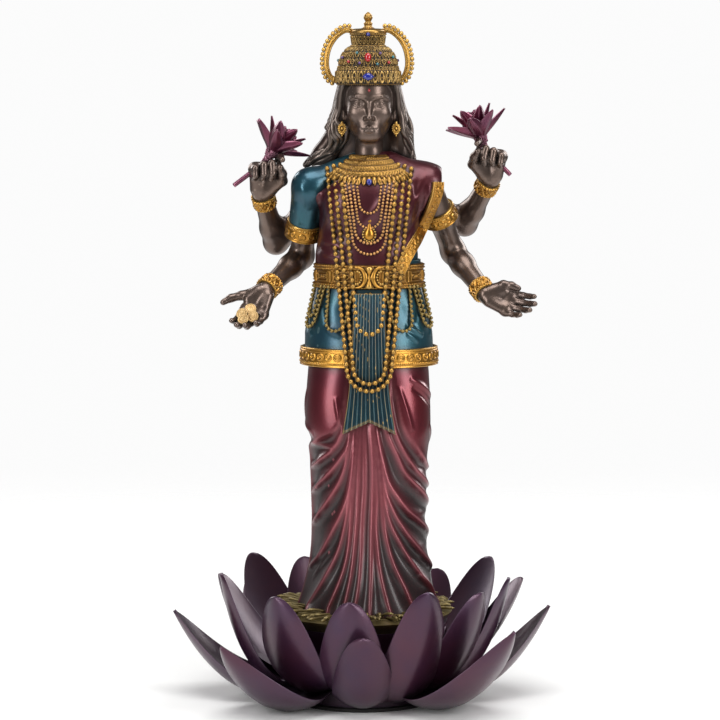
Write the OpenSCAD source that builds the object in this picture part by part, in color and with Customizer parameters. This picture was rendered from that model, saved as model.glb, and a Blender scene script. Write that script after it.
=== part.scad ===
// Four-armed goddess statue standing on an open lotus: cold-cast figure, hand-painted,
// pinned to its base with a steel rod. Frame: origin on the floor under the middle of the
// lotus, +Z up, the figure looks along -Y. Right and left are the figure's own.

/* [Lotus base] */
// Diameter of the felt pad that the statue rests on
pad_d = 60; // [50:1:66]
// Thickness of the felt pad
pad_t = 1.2; // [0.8:0.1:2]
// Radius of the bowl at its foot
bowl_foot_r = 27; // [25:0.5:30]
// Radius of the bowl under the dais
bowl_top_r = 34; // [31:0.5:37]
// Height of the dais above the floor
dais_z = 36; // [32:1:42]
// Thickness of the dais
dais_t = 4; // [3:0.5:6]
// Radius at the tips of the outer petals
petal_tip_r = 76; // [72:1:84]
// Height of the outer petals' tips
outer_tip_z = 36; // [30:1:42]
// Height of the inner petals' tips
inner_tip_z = 50; // [44:1:56]
// Thickness of a petal at its middle
petal_t = 2.6; // [2:0.1:3.4]
// Width of an outer petal
petal_w = 31; // [24:1:34]
// Diameter of one stamen
stamen_d = 1; // [0.8:0.1:1.4]

/* [Figure] */
// Height of the figure from the dais to the crown's tip
figure_h = 239; // [215:1:262]
// Width of the skirt at its hem
hem_w = 56; // [50:1:60]
// Depth of the skirt at its hem
hem_d = 46; // [40:1:50]
// Width across the tunic's hem
hip_w = 51; // [46:1:56]
// Depth of the tunic's hem
hip_d = 38; // [34:1:42]
// Width of the waist inside the belt
waist_w = 39; // [34:1:44]
// Depth of the waist inside the belt
waist_d = 28; // [25:1:32]
// Width of the chest without its arms
chest_w = 36; // [33:1:39]
// Depth of the chest
chest_d = 27; // [24:1:30]
// Width of the head at the cheeks
head_w = 20.4; // [18:0.2:22]
// Depth of the head
head_d = 25; // [22:0.5:27]
// Diameter of the neck
neck_d = 11.6; // [10:0.2:13]

/* [Garments] */
// Wall of the tunic, stole and sleeve
cloth_t = 1.4; // [1:0.1:2]
// Height of the tunic's hem band
hem_band_h = 7.4; // [5:0.2:9]
// Height of the belt
belt_h = 9.6; // [7:0.2:12]
// Width of the border along the stole
border_w = 5; // [3.5:0.1:6.5]
// Width of the pleated sash
sash_w = 14; // [10:0.5:18]

/* [Arms] */
// Length from shoulder to elbow
upper_arm_l = 34; // [30:0.5:38]
// Length from elbow to wrist
forearm_l = 28; // [25:0.5:31]
// Diameter of the arm below the shoulder
arm_d = 11.4; // [10:0.1:12.4]
// Diameter of the wrist
wrist_d = 7.6; // [6.5:0.1:8.6]
// Length of a hand from wrist to fingertips
hand_l = 25; // [22:0.5:28]
// Width of a bangle along the arm
bangle_w = 5.2; // [4:0.1:6.5]
// Wall of a bangle
bangle_t = 1.3; // [0.9:0.1:1.8]
// Diameter of a coin
coin_d = 3.8; // [3:0.1:4.6]
// Length of a petal on a hand-held bloom
bloom_l = 17; // [14:0.5:20]

/* [Jewellery] */
// Diameter of the largest beads, on the inner strand
bead_d = 2.4; // [1.8:0.1:2.6]
// Diameter of the beads on the two outer strands
small_bead_d = 1.9; // [1.4:0.1:2.1]
// Distance between bead centres as a multiple of their diameter
bead_pitch = 1.14; // [1.06:0.01:1.3]
// Thickness of the ring of each crown loop
loop_t = 2.6; // [2:0.1:3.2]
// Outer diameter of the crown's band
crown_d = 27; // [25:0.5:29]

/* [Fixings] */
// Diameter of the steel rod between base and figure
rod_d = 5; // [4:0.5:7]
// Length of the steel rod
rod_l = 62; // [50:1:80]
// Glue gap around the rod
rod_gap = 0.1; // [0.05:0.01:0.2]
// Gap between neighbouring pieces
seat_gap = 0.15; // [0.1:0.05:0.3]

/* [Hidden] */

// ---------------------------------------------------------------- shared maths

// The figure stands a little to the left of the lotus's middle, as its weight is on that leg
figure_x = 2.4;

// Height above the floor of a point given as a share of the figure's height
function fz(share) = dais_z + share * figure_h;

function unit(v) = v / norm(v);

// A point on an ellipse round the figure's axis; angle 0 is the figure's left, 90 its back
function oval(z, half_w, half_d, angle, cy = 0) =
    [figure_x + half_w * cos(angle), cy + half_d * sin(angle), z];

// Closed ring of n points on such an ellipse
function oval_ring(z, half_w, half_d, n = 28, cy = 0) =
    [for (i = [0:n - 1]) oval(z, half_w, half_d, 360 * i / n, cy)];

// Direction of a path at its point i
function heading(path, i) =
    unit(path[min(i + 1, len(path) - 1)] - path[max(i - 1, 0)]);

// Ring of n points round point i of a path, r[0] along the side and r[1] along the up direction
function path_ring(path, i, r, ref, n, turn = 0) =
    let (t = heading(path, i), side = unit(cross(t, ref)), up = cross(side, t))
    [for (k = [0:n - 1]) let (a = turn - 360 * k / n)
        path[i] + r[0] * cos(a) * side + r[1] * sin(a) * up];

function path_rings(path, radii, ref = [0, 1, 0.01], n = 14, turn = 0) =
    [for (i = [0:len(path) - 1]) path_ring(path, i, radii[i], ref, n, turn)];

// Two triangles for each cell between ring i and ring j of n points
function cells(i, j, n) = [for (k = [0:n - 1]) let (m = (k + 1) % n)
    each [[i * n + k, j * n + k, j * n + m], [i * n + k, j * n + m, i * n + m]]];

function all_points(rings) = [for (r = rings) each r];

// Triangles over a ring of n points: a fan, or for the bent section of a sheet a strip between its two sides
function end_cap(n, sheet) = sheet
    ? [for (k = [0:n / 2 - 2]) each [[k, k + 1, n - 1 - k], [k + 1, n - 2 - k, n - 1 - k]]]
    : [for (k = [1:n - 2]) [0, k, k + 1]];

// Solid through a row of rings, closed at each end
module skin(rings, sheet = false) {
    n = len(rings[0]);
    last = len(rings) - 1;
    cap = end_cap(n, sheet);
    polyhedron(
        points = all_points(rings),
        faces = concat(
            [for (i = [0:last - 1]) each cells(i, i + 1, n)],
            cap,
            [for (t = cap) [t[0] + last * n, t[2] + last * n, t[1] + last * n]]
        ),
        convexity = 6
    );
}

// Solid through a closed circle of rings, so with a hole through it
module skin_loop(rings) {
    n = len(rings[0]);
    count = len(rings);
    polyhedron(
        points = all_points(rings),
        faces = [for (i = [0:count - 1]) each cells(i, (i + 1) % count, n)],
        convexity = 6
    );
}

function reversed(list) = [for (i = [len(list) - 1:-1:0]) list[i]];

// Point on the curve with three control points
function bezier(p, v) = (1 - v) * (1 - v) * p[0] + 2 * v * (1 - v) * p[1] + v * v * p[2];

// ---------------------------------------------------------------- the figure's outline

// Share of height, half width and half depth of the body's outline without the tunic
BODY = [
    [0.000, hem_w / 2, hem_d / 2],
    [0.060, hem_w * 0.475, hem_d * 0.47],
    [0.125, hem_w * 0.42, hem_d * 0.44],
    [0.190, hem_w * 0.43, hem_d * 0.42],
    [0.260, hip_w * 0.475, hip_d * 0.48],
    [0.310, hip_w * 0.495, hip_d * 0.47],
    [0.405, hip_w * 0.47, hip_d * 0.45],
    [0.470, hip_w * 0.46, hip_d * 0.44],
    [0.520, (hip_w + waist_w) * 0.235, (hip_d + waist_d) * 0.235],
    [0.560, waist_w / 2, waist_d / 2],
    [0.600, waist_w / 2, waist_d / 2],
    [0.640, chest_w * 0.5, chest_d / 2],
    [0.690, chest_w * 0.5, chest_d * 0.52],
    [0.725, chest_w * 0.46, chest_d * 0.45],
    [0.745, chest_w * 0.34, chest_d * 0.36],
    [0.760, neck_d * 0.62, neck_d * 0.62]
];
body_half_w = [for (row = BODY) [row[0], row[1]]];
body_half_d = [for (row = BODY) [row[0], row[2]]];
function half_w(share) = lookup(share, body_half_w);
function half_d(share) = lookup(share, body_half_d);

// Front of the body at that place, moved out by grow
function front_y(x, z, grow) =
    let (share = (z - dais_z) / figure_h, w = half_w(share) + grow, d = half_d(share) + grow,
        s = min(abs(x - figure_x) / w, 0.96))
    -d * sqrt(1 - s * s);

hem_share = 0.417;      // the tunic's lower edge
skirt_top_share = 0.45; // the skirt ends inside the tunic
waist_share = 0.545;    // the belt's lower edge
collar_share = 0.752;   // the bodice's upper edge
chin_share = 0.786;
band_share = 0.888;     // the crown's lower edge

// ---------------------------------------------------------------- lotus base

rod_r = rod_d / 2 + rod_gap;
rod_z = dais_z - rod_l / 2;

module felt_pad() color([0.08, 0.07, 0.07]) cylinder(d = pad_d, h = pad_t, $fn = 96);

// Foot of the bowl swells to the rim under the dais along a curve
bowl_side = [for (v = [0:0.125:1])
    bezier([[bowl_foot_r, pad_t], [bowl_foot_r + 1, (dais_z - dais_t) * 0.55],
        [bowl_top_r, dais_z - dais_t]], v)];

module base_bowl() color([0.19, 0.13, 0.19]) rotate_extrude($fn = 96)
    polygon(concat([[rod_r, pad_t]], bowl_side, [[rod_r, dais_z - dais_t]]));

// Half width of a petal at v along it: narrow root, full middle, pointed tip
function petal_half_w(v, w, root) = let (full = 0.56)
    w / 2 * (v < full ? root + (1 - root) * sin(90 * v / full)
        : max(pow(cos(90 * (v - full) / (1 - full)), 0.75), 0.08));

// Cross-section of a petal at v: an arc across it, thick at the middle and thin at the edges
function petal_ring(curve, v, w, root, cup, t, m) =
    let (c = bezier(curve, v), ahead = bezier(curve, min(v + 0.02, 1)), back = bezier(curve, max(v - 0.02, 0)),
        d = unit(ahead - back), out = [d[1], -d[0]], half = petal_half_w(v, w, root), r = half / sin(cup),
        thick = t * (v > 0.92 ? 0.5 : 1))
    [for (side = [1, -1], j = [0:m]) let (u = side * (1 - 2 * j / m), a = u * cup,
        off = side * thick / 2 * (1 - 0.7 * u * u) - r * (1 - cos(a)))
        [c[0] + out[0] * off, -r * sin(a), c[1] + out[1] * off]];

// A petal that leans out along x, its middle line a curve through three points given as [x, z]
module petal(curve, w, root, cup, t, m = 5, steps = 7)
    skin([for (i = [0:steps]) petal_ring(curve, i / steps, w, root, cup, t, m)], sheet = true);

// Petals of one row as hand-modelled: angle from the front towards the figure's left, then the tip's
// radius, the tip's height and the petal's width as shares of the row's sizes
OUTER = [
    [0, 0.78, 1.12, 0.78], [48, 1.04, 1.02, 1], [93, 1, 1, 1], [138, 0.98, 1.04, 1],
    [180, 0.95, 1.06, 1], [-138, 0.98, 1.04, 1], [-94, 1.01, 0.95, 1], [-48, 0.98, 0.84, 1]
];
MIDDLE = [
    [26, 0.98, 1.04, 0.96], [80, 1.02, 1, 0.96], [126, 1.12, 1, 1], [176, 1.1, 0.92, 1],
    [-134, 1.1, 1, 1], [-84, 0.98, 1.02, 1]
];
INNER = [
    [-5, 0.94, 0.97, 1.04], [53, 1.06, 0.98, 1.04], [103, 1.2, 0.92, 1], [151, 1.2, 0.84, 0.9],
    [-157, 1.16, 0.93, 1], [-110, 1.14, 0.93, 1], [-43, 0.94, 0.96, 1.08]
];

// A row of petals from a root outside the bowl; sag is how low their middles hang
module petal_row(list, root, tip_r, tip_z, w, sag_r, sag_z, root_w, cup)
    for (p = list) rotate([0, 0, p[0] - 90])
        petal([root, [sag_r * p[1], sag_z], [tip_r * p[1], tip_z * p[2]]], w * p[3], root_w, cup, petal_t);

outer_root = [bowl_foot_r + petal_t / 2 + 0.6, 8];
middle_root = [bowl_foot_r + petal_t / 2 + 1.4, 16];
inner_root = [bowl_top_r + petal_t / 2 - 2.9, 25];

module outer_petals() color([0.24, 0.15, 0.24])
    petal_row(OUTER, outer_root, petal_tip_r, outer_tip_z, petal_w, petal_tip_r * 0.6, -10, 0.62, 42);
module middle_petals() color([0.26, 0.16, 0.26])
    petal_row(MIDDLE, middle_root, petal_tip_r * 0.77, inner_tip_z, petal_w * 0.72,
        petal_tip_r * 0.6, 7, 0.8, 36);
module inner_petals() color([0.28, 0.17, 0.27])
    petal_row(INNER, inner_root, petal_tip_r * 0.72, inner_tip_z, petal_w * 0.68,
        petal_tip_r * 0.58, 20, 0.85, 30);

dais_r = bowl_top_r + 2;

module seed_dais() color([0.2, 0.19, 0.08]) translate([0, 0, dais_z - dais_t]) difference() {
    cylinder(r1 = bowl_top_r - 1, r2 = dais_r, h = dais_t, $fn = 96);
    translate([0, 0, -1]) cylinder(r = rod_r, h = dais_t + 2, $fn = 48);
}

stamen_count = 72;
stamen_l = 7;

// Stamens lie on the dais round the hem, pointing outwards
module stamens() color([0.36, 0.33, 0.13])
    for (i = [0:stamen_count - 1])
        rotate([0, 0, 360 * i / stamen_count])
            translate([dais_r - stamen_l, 0, dais_z + stamen_d / 2 + 0.1])
                rotate([0, 88 - 4 * (i % 3), 9 * (i % 2) - 4]) cylinder(d = stamen_d, h = stamen_l, $fn = 16);

module joining_rod() color([0.6, 0.6, 0.62]) translate([0, 0, rod_z]) cylinder(d = rod_d, h = rod_l, $fn = 48);

// ---------------------------------------------------------------- skirt, sash and tunic

pleats = 11;
pleat_depth = 1.3;

// The skirt's folds: fine pleats in front, slanting drapes on both sides
function fold(angle, share) =
    let (front = max(-sin(angle), 0), low = min(1, max(0, (0.33 - share) / 0.2)))
    pleat_depth * (low * front * front * cos(pleats * (angle + 90))
        + (1 - front) * 0.9 * cos(2600 * share + 70 * cos(angle)) * min(1, (0.4 - share) * 6));

module skirt() color([0.36, 0.09, 0.12]) {
    steps = 22;
    top = skirt_top_share;
    difference() {
        skin([for (i = [0:steps]) let (share = top * i / steps)
            [for (k = [0:47]) let (a = 360 * k / 48, f = fold(a, min(share, 0.4)))
                oval(fz(share) + (i == 0 ? seat_gap : 0), half_w(share) + f - 0.6, half_d(share) + f - 0.6, a)]]);
        translate([0, 0, dais_z - 1]) cylinder(r = rod_r, h = rod_z + rod_l - dais_z + 2, $fn = 48);
    }
}

tunic_grow = cloth_t + seat_gap;
tunic_out = tunic_grow + 0.4;

function body_ring(share, grow, n = 28) = oval_ring(fz(share), half_w(share) + grow, half_d(share) + grow, n);

// A bell open below that stands on nothing: it hangs from the waist over the skirt's top
module tunic() color([0.07, 0.2, 0.27]) skin([
    body_ring(skirt_top_share + 0.004, pleat_depth * 0.2),
    body_ring(hem_share, pleat_depth * 0.4),
    body_ring(hem_share, tunic_out + 0.6),
    body_ring(0.448, tunic_out),
    body_ring(0.48, tunic_out),
    body_ring(0.51, tunic_grow),
    body_ring(waist_share, tunic_grow - 1),
    body_ring(waist_share + (belt_h + 1) / figure_h, tunic_grow - 1.4)
]);

hem_band_t = 1.1;
hem_band_in = tunic_out + 0.6 + seat_gap;

module ring_band(low, high, in, out, n = 28) skin_loop([
    body_ring(low, in, n), body_ring(low, out, n), body_ring(high, out, n), body_ring(high, in, n)
]);

module tunic_hem_band() color([0.62, 0.42, 0.13])
    ring_band(hem_share - 0.002, hem_share + hem_band_h / figure_h, hem_band_in, hem_band_in + hem_band_t);

sash_top = waist_share - 0.006;
sash_low = 0.305;
sash_notch = 0.325;
sash_grow = hem_band_in + hem_band_t + seat_gap;
sash_t = 1.2;

// Pleated panel down the front, wider and swallow-tailed at its lower end
module front_sash() color([0.09, 0.23, 0.3]) {
    m = 14;
    steps = 12;
    skin([for (i = [0:steps]) let (v = i / steps)
        [for (side = [0, 1], j = [0:m]) let (u = side == 0 ? 1 - j / m * 2 : j / m * 2 - 1,
            low = sash_notch - (sash_notch - sash_low) * abs(u),
            share = sash_top + (low - sash_top) * v,
            x = figure_x + u * sash_w / 2 * (0.9 + 0.4 * v * v),
            y = front_y(x, fz(max(share, hem_share)), sash_grow) - 0.35 * cos(1080 * u))
            [x, side == 0 ? y - sash_t : y, fz(share)]]], sheet = true);
}

// ---------------------------------------------------------------- belt

belt_in = tunic_grow - 1 + seat_gap;
belt_t = 1.5;
belt_low = waist_share;
belt_high = waist_share + belt_h / figure_h;

module belt() color([0.42, 0.3, 0.12]) ring_band(belt_low, belt_high, belt_in, belt_in + belt_t);

clasp_y = front_y(figure_x, fz(belt_low), belt_in + belt_t + seat_gap);

// Round boss between two crescents
module belt_clasp() color([0.7, 0.5, 0.18])
    translate([figure_x, clasp_y, fz(belt_low) + belt_h / 2]) rotate([90, 0, 0]) {
        cylinder(r = belt_h * 0.16, h = 1.6, $fn = 32);
        for (side = [-1, 1]) translate([side * belt_h * 0.68, 0, 0]) intersection() {
            difference() {
                cylinder(r = belt_h * 0.46, h = 1.2, $fn = 48);
                translate([0, 0, -1]) cylinder(r = belt_h * 0.36, h = 4, $fn = 48);
            }
            translate([-side * belt_h * 0.25 - belt_h * 0.25, -belt_h / 2, 0]) cube([belt_h * 0.5, belt_h, 2]);
        }
    }

// ---------------------------------------------------------------- bead strands

// Place at distance s along a strand that hangs in a U: an arc of radius r, then straight sides
function strand_xz(s, r, top_w, low_z, top_z) =
    let (quarter = PI / 2 * r, a = abs(s), lean = atan((top_w - r) / (top_z - low_z - r)),
        way = a <= quarter ? [r * sin(a / r * 180 / PI), low_z + r * (1 - cos(a / r * 180 / PI))]
            : [r + (a - quarter) * sin(lean), low_z + r + (a - quarter) * cos(lean)])
    [figure_x + (s < 0 ? -1 : 1) * way[0], way[1]];

function strand_l(r, top_w, low_z, top_z) =
    2 * (PI / 2 * r + norm([top_w - r, top_z - low_z - r]));

// How far the strand lies outside the body there: over the tunic below the belt, else over the stole
function strand_grow(z) = lookup(z, [
    [fz(hem_share) - 4, sash_grow + sash_t], [fz(hem_share), sash_grow + sash_t + 0.4],
    [fz(waist_share), sash_grow + sash_t], [fz(0.62), cloth_t + 1.2], [fz(0.745), cloth_t + 1.4]]);

module bead_strand(d, r, top_w, low_z, top_z, lift = 0) {
    pitch = d * bead_pitch;
    count = floor(strand_l(r, top_w, low_z, top_z) / pitch / 2);
    for (i = [-count:count]) {
        p = strand_xz(i * pitch, r, top_w, low_z, top_z);
        translate([p[0], front_y(p[0], max(p[1], fz(hem_share)), strand_grow(p[1]) + d / 2 + lift), p[1]])
            sphere(d = d, $fn = 24);
    }
}

strand_top = fz(0.742);

module outer_bead_strand() color([0.6, 0.44, 0.18])
    bead_strand(small_bead_d, 8.8, chest_w * 0.46, fz(0.379), strand_top - 2);
module middle_bead_strand() color([0.6, 0.44, 0.18])
    bead_strand(small_bead_d, 6.3, chest_w * 0.4, fz(0.391), strand_top - 1);
module inner_bead_strand() color([0.66, 0.48, 0.2])
    bead_strand(bead_d, 5.2, chest_w * 0.32, fz(0.475), strand_top);
module short_necklace() color([0.5, 0.37, 0.18])
    bead_strand(small_bead_d * 0.8, 5.6, chest_w * 0.24, fz(0.612), fz(0.735), 0.2);

swag_bead_d = small_bead_d * 0.9;
swag_pitch = swag_bead_d * 1.3;
// Loops of small beads that hang from the belt on each hip: angle from the front, radius of the loop's
// bottom, half width at its top and how far down it hangs as a share of the height
SWAGS = [[33, 4.6, 5.6, 0.07], [66, 3.8, 4.8, 0.064]];

module hip_swags() color([0.42, 0.33, 0.16])
    for (side = [-1, 1], swag = SWAGS) {
        top_z = fz(waist_share) - swag_bead_d;
        low_z = fz(waist_share - swag[3]);
        count = floor(strand_l(swag[1], swag[2], low_z, top_z) / swag_pitch / 2);
        for (i = [-count:count]) {
            p = strand_xz(i * swag_pitch, swag[1], swag[2], low_z, top_z);
            share = (p[1] - dais_z) / figure_h;
            g = tunic_out + 0.5 + swag_bead_d / 2;
            turn = (p[0] - figure_x) / (hip_w / 2) * 180 / PI;
            translate(oval(p[1], half_w(share) + g, half_d(share) + g, -90 + side * swag[0] + turn))
                sphere(d = swag_bead_d, $fn = 24);
        }
    }

pendant_share = 0.655;

module pendant() color([0.7, 0.42, 0.2])
    translate([figure_x, front_y(figure_x, fz(pendant_share), cloth_t + 0.5), fz(pendant_share)])
        rotate([90, 0, 0]) {
            cylinder(r1 = 2.6, r2 = 1.6, h = 1.4, $fn = 32);
            translate([0, -3.6, 0]) cylinder(r1 = 1.3, r2 = 0.8, h = 1.2, $fn = 24);
        }

// ---------------------------------------------------------------- bodice, stole and sleeve

bodice_low = waist_share + (belt_h + 1) / figure_h + seat_gap / figure_h;

module bodice() color([0.08, 0.17, 0.22])
    skin([for (share = [bodice_low, 0.62, 0.65, 0.69, 0.715, 0.73, 0.742, collar_share]) body_ring(share, 0)]);

// Sheet round part of the body between two angles, its lower and upper edges at shares of the height
module wrap(low, high, from, to, in, out, m = 14, steps = 8)
    skin([for (i = [0:steps]) let (share = low + (high - low) * i / steps)
        [for (side = [0, 1], j = [0:m]) let (v = side == 0 ? j / m : 1 - j / m,
            g = side == 0 ? out : in, a = from + (to - from) * v)
            oval(fz(share), half_w(share) + g, half_d(share) + g, a)]], sheet = true);

stole_in = seat_gap;
stole_out = stole_in + cloth_t;

module shoulder_stole() color([0.33, 0.08, 0.11])
    wrap(bodice_low + 0.002, 0.742, -168, 24, stole_in, stole_out);

// Shoulders, elbows and wrists of the four arms, in the order right front, left front, right rear, left rear
shoulder_z = fz(0.712);
shoulder_x = chest_w / 2 + stole_out + arm_d / 2;
rear_x = (chest_w / 2 + arm_d / 2 + seat_gap) * cos(45);
rear_y = (chest_d * 0.52 + arm_d / 2 + seat_gap) * sin(45);
SHOULDERS = [
    [figure_x - shoulder_x, -1, shoulder_z], [figure_x + shoulder_x, -1, shoulder_z],
    [figure_x - rear_x, rear_y, shoulder_z - 1], [figure_x + rear_x, rear_y, shoulder_z - 1]
];
UPPER_WAYS = [[-0.1, 0.51, -0.85], [0.31, 0.52, -0.8], [-0.66, 0.38, -0.65], [0.7, 0.56, -0.44]];
FORE_WAYS = [[-0.5, -0.75, -0.43], [0.44, -0.7, -0.56], [-0.17, -0.67, 0.72], [0.33, -0.67, 0.66]];
ELBOWS = [for (i = [0:3]) SHOULDERS[i] + upper_arm_l * unit(UPPER_WAYS[i])];
WRISTS = [for (i = [0:3]) ELBOWS[i] + forearm_l * unit(FORE_WAYS[i])];

function arm_path(i) = let (s = SHOULDERS[i], e = ELBOWS[i], w = WRISTS[i], su = unit(e - s), fu = unit(w - e))
    [s - su * 2, s, s + su * upper_arm_l * 0.35, s + su * upper_arm_l * 0.75, e - su * 1.5, e + fu * 1.5,
        e + fu * forearm_l * 0.28, e + fu * forearm_l * 0.65, w - fu * 0.3];

function arm_radii() = let (r = arm_d / 2, w = wrist_d / 2)
    [for (k = [0.62, 0.98, 1, 0.9, 0.86, 0.86, 0.88]) [k * r, k * r]];

module arm(i) color([0.2, 0.16, 0.15])
    skin(path_rings(arm_path(i),
        concat(arm_radii(), [[wrist_d * 0.6, wrist_d * 0.56], [wrist_d / 2, wrist_d / 2]]), [0.1, 1, 0.35], 16));

module right_front_arm() arm(0);
module left_front_arm() arm(1);
module right_rear_arm() arm(2);
module left_rear_arm() arm(3);

// Hollow sleeve round the upper arm between two places along it
module tube_on_arm(i, from, to, in_gap, wall, flare = 0) {
    s = SHOULDERS[i];
    way = unit(ELBOWS[i] - s);
    path = [for (k = [0:3]) s + way * upper_arm_l * (from + (to - from) * k / 3)];
    r_in = arm_d / 2 + in_gap;
    r_out = r_in + wall;
    skin_loop(concat(
        path_rings(path, [for (k = [0:3]) [r_out + flare * k / 3, r_out + flare * k / 3]], [0.1, 1, 0.35], 20),
        reversed(path_rings(path, [for (k = [0:3]) [r_in, r_in]], [0.1, 1, 0.35], 20))
    ));
}

sleeve_end = 0.5;
cuff_l = 0.2;

module right_sleeve() color([0.09, 0.24, 0.3]) tube_on_arm(0, -0.04, sleeve_end, seat_gap, cloth_t);
module right_cuff() color([0.66, 0.46, 0.15])
    tube_on_arm(0, sleeve_end + 0.005, sleeve_end + cuff_l, seat_gap, cloth_t + 0.8, 0.6);
module left_cuff() color([0.66, 0.46, 0.15])
    tube_on_arm(1, 0.3, 0.3 + cuff_l, seat_gap, cloth_t + 0.6, 0.4);

// Gold border down the free edge of the stole, from the shoulder to the belt
module stole_border() color([0.72, 0.5, 0.16]) {
    top = SHOULDERS[1] + [2.5, -arm_d / 2 - 1.2, 3];
    low_x = figure_x + waist_w * 0.38;
    low = [low_x, front_y(low_x, fz(0.6), stole_out + 1), fz(0.593)];
    path = [for (v = [0:0.125:1]) bezier([top, [top[0] - 1, low[1] - 4, (top[2] + low[2]) / 2], low], v)];
    skin(path_rings(path, [for (v = [0:0.125:1]) [border_w / 2, 0.7]], [-0.25, 1, 0.1], 8, 45 / 2));
}

// ---------------------------------------------------------------- hands, bangles, blooms and coins

// Fingers' way, and the palm's outward normal, of the four hands
HAND_WAYS = [[-0.48, -0.5, -0.72], [0.94, -0.2, -0.28], [0.1, -0.3, 0.95], [0.05, -0.3, 0.95]];
PALM_WAYS = [[-0.2, -0.7, 0.68], [0.05, -0.93, 0.35], [0.25, -0.95, -0.2], [-0.25, -0.95, -0.2]];

// Stands a hand drawn along +Z with its palm to -Y and its thumb to side * X on wrist i
module at_wrist(i) {
    d = unit(HAND_WAYS[i]);
    n = unit(PALM_WAYS[i] - (PALM_WAYS[i] * d) * d);
    x = cross(-n, d);
    w = WRISTS[i];
    multmatrix([[x[0], -n[0], d[0], w[0]], [x[1], -n[1], d[1], w[1]], [x[2], -n[2], d[2], w[2]], [0, 0, 0, 1]])
        children();
}

module bone(a, b, ra, rb) hull() {
    translate(a) sphere(r = ra, $fn = 10);
    translate(b) sphere(r = rb, $fn = 10);
}

// A hand: palm, four fingers of two bones each and a thumb; curl bends the fingers towards the palm
module hand(thumb_side, curl) {
    palm_l = hand_l * 0.46;
    r = hand_l * 0.055;
    hull() {
        translate([0, 0, wrist_d * 0.16]) sphere(r = wrist_d * 0.4, $fn = 12);
        for (x = [-1, 1]) translate([x * hand_l * 0.15, 0, palm_l]) sphere(r = r * 1.35, $fn = 10);
    }
    for (k = [0:3]) {
        x = (k - 1.5) * hand_l * 0.105;
        l = hand_l * (k == 0 || k == 3 ? 0.42 : 0.5);
        knuckle = [x, 0, palm_l];
        mid = knuckle + l * 0.5 * [0.1 * x / r, -sin(curl), cos(curl)];
        tip = mid + l * 0.45 * [0, -sin(curl * 2.1), cos(curl * 2.1)];
        bone(knuckle, mid, r * 1.1, r);
        bone(mid, tip, r, r * 0.8);
    }
    root = [thumb_side * hand_l * 0.1, -1, palm_l * 0.4];
    bend = root + hand_l * 0.2 * unit([thumb_side * 0.9, -0.5, 0.8]);
    bone(root, bend, r * 1.3, r * 1.1);
    bone(bend, bend + hand_l * 0.15 * unit([thumb_side * 0.3, -0.5, 1]), r * 1.1, r * 0.85);
}

module skin_colour() color([0.22, 0.18, 0.17]) children();

module right_front_hand() skin_colour() at_wrist(0) hand(1, 22);
module left_front_hand() skin_colour() at_wrist(1) hand(-1, 18);
module right_rear_hand() skin_colour() at_wrist(2) hand(1, 78);
module left_rear_hand() skin_colour() at_wrist(3) hand(-1, 78);

bangle_back = 0.6;

// Ring round the forearm just behind the hand
module bangle(i) color([0.6, 0.42, 0.16]) {
    way = unit(WRISTS[i] - ELBOWS[i]);
    turn = [0, acos(way[2]), atan2(way[1], way[0])];
    translate(WRISTS[i] - way * (bangle_w + bangle_back)) rotate(turn) difference() {
        cylinder(r = wrist_d * 0.56 + bangle_t, h = bangle_w, $fn = 48);
        translate([0, 0, -1]) cylinder(r = wrist_d * 0.56 + seat_gap, h = bangle_w + 2, $fn = 48);
    }
}

module right_front_bangle() bangle(0);
module left_front_bangle() bangle(1);
module right_rear_bangle() bangle(2);
module left_rear_bangle() bangle(3);

stem_r = 0.9;
seed_r = 2;
seed_top = 5.2;

// Petal rows of a bloom: count, radius and height of the root, reach and height of the tip, width, thickness
BLOOM_ROWS = [
    [6, seed_r + seat_gap, 2.4, bloom_l * 0.72, bloom_l * 0.5 + 2, 6.6, 1.2],
    [5, seed_r * 0.5 + seat_gap, 4.6, bloom_l * 0.4, bloom_l * 0.85 + 2, 5, 1]
];

// Open lotus on a short stem held between finger and thumb; lean turns it over
module bloom(i, lean, spin) color([0.42, 0.16, 0.26])
    at_wrist(i) translate([0, -hand_l * 0.2, hand_l * 0.56]) rotate(lean) {
        rotate_extrude($fn = 32) polygon([[0, -4], [stem_r, -4], [stem_r, 0.6], [seed_r, 1.2], [seed_r, 3.2],
            [seed_r * 0.5, 3.8], [seed_r * 0.5, seed_top], [0, seed_top]]);
        for (row = BLOOM_ROWS, k = [0:row[0] - 1]) rotate([0, 0, spin + (k + row[0] / 10) * 360 / row[0]])
            petal([[row[1] + 0.3, row[2]], [row[3] * 0.8, row[2] + 0.8], [row[3], row[4]]],
                row[5], 0.22, 40, row[6], 2, 5);
    }

module right_lotus_bloom() bloom(2, [22, 38, 0], 0);
module left_lotus_bloom() bloom(3, [24, -26, 0], 30);

coin_t = 0.8;

// Coins that spill over the right palm
module coins() color([0.78, 0.6, 0.36]) at_wrist(0)
    for (place = [[0, 0.46, 0], [-0.17, 0.6, 10], [0.15, 0.62, -12], [-0.02, 0.7, 4]])
        translate([place[0] * hand_l, -hand_l * 0.13 - 3.2 * place[1] * place[1] * 2, place[1] * hand_l])
            rotate([112, place[2], 0]) cylinder(d = coin_d, h = coin_t, $fn = 32);

// ---------------------------------------------------------------- head, hair and crown

head_cy = -1.5;
head_top = fz(0.925);

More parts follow.
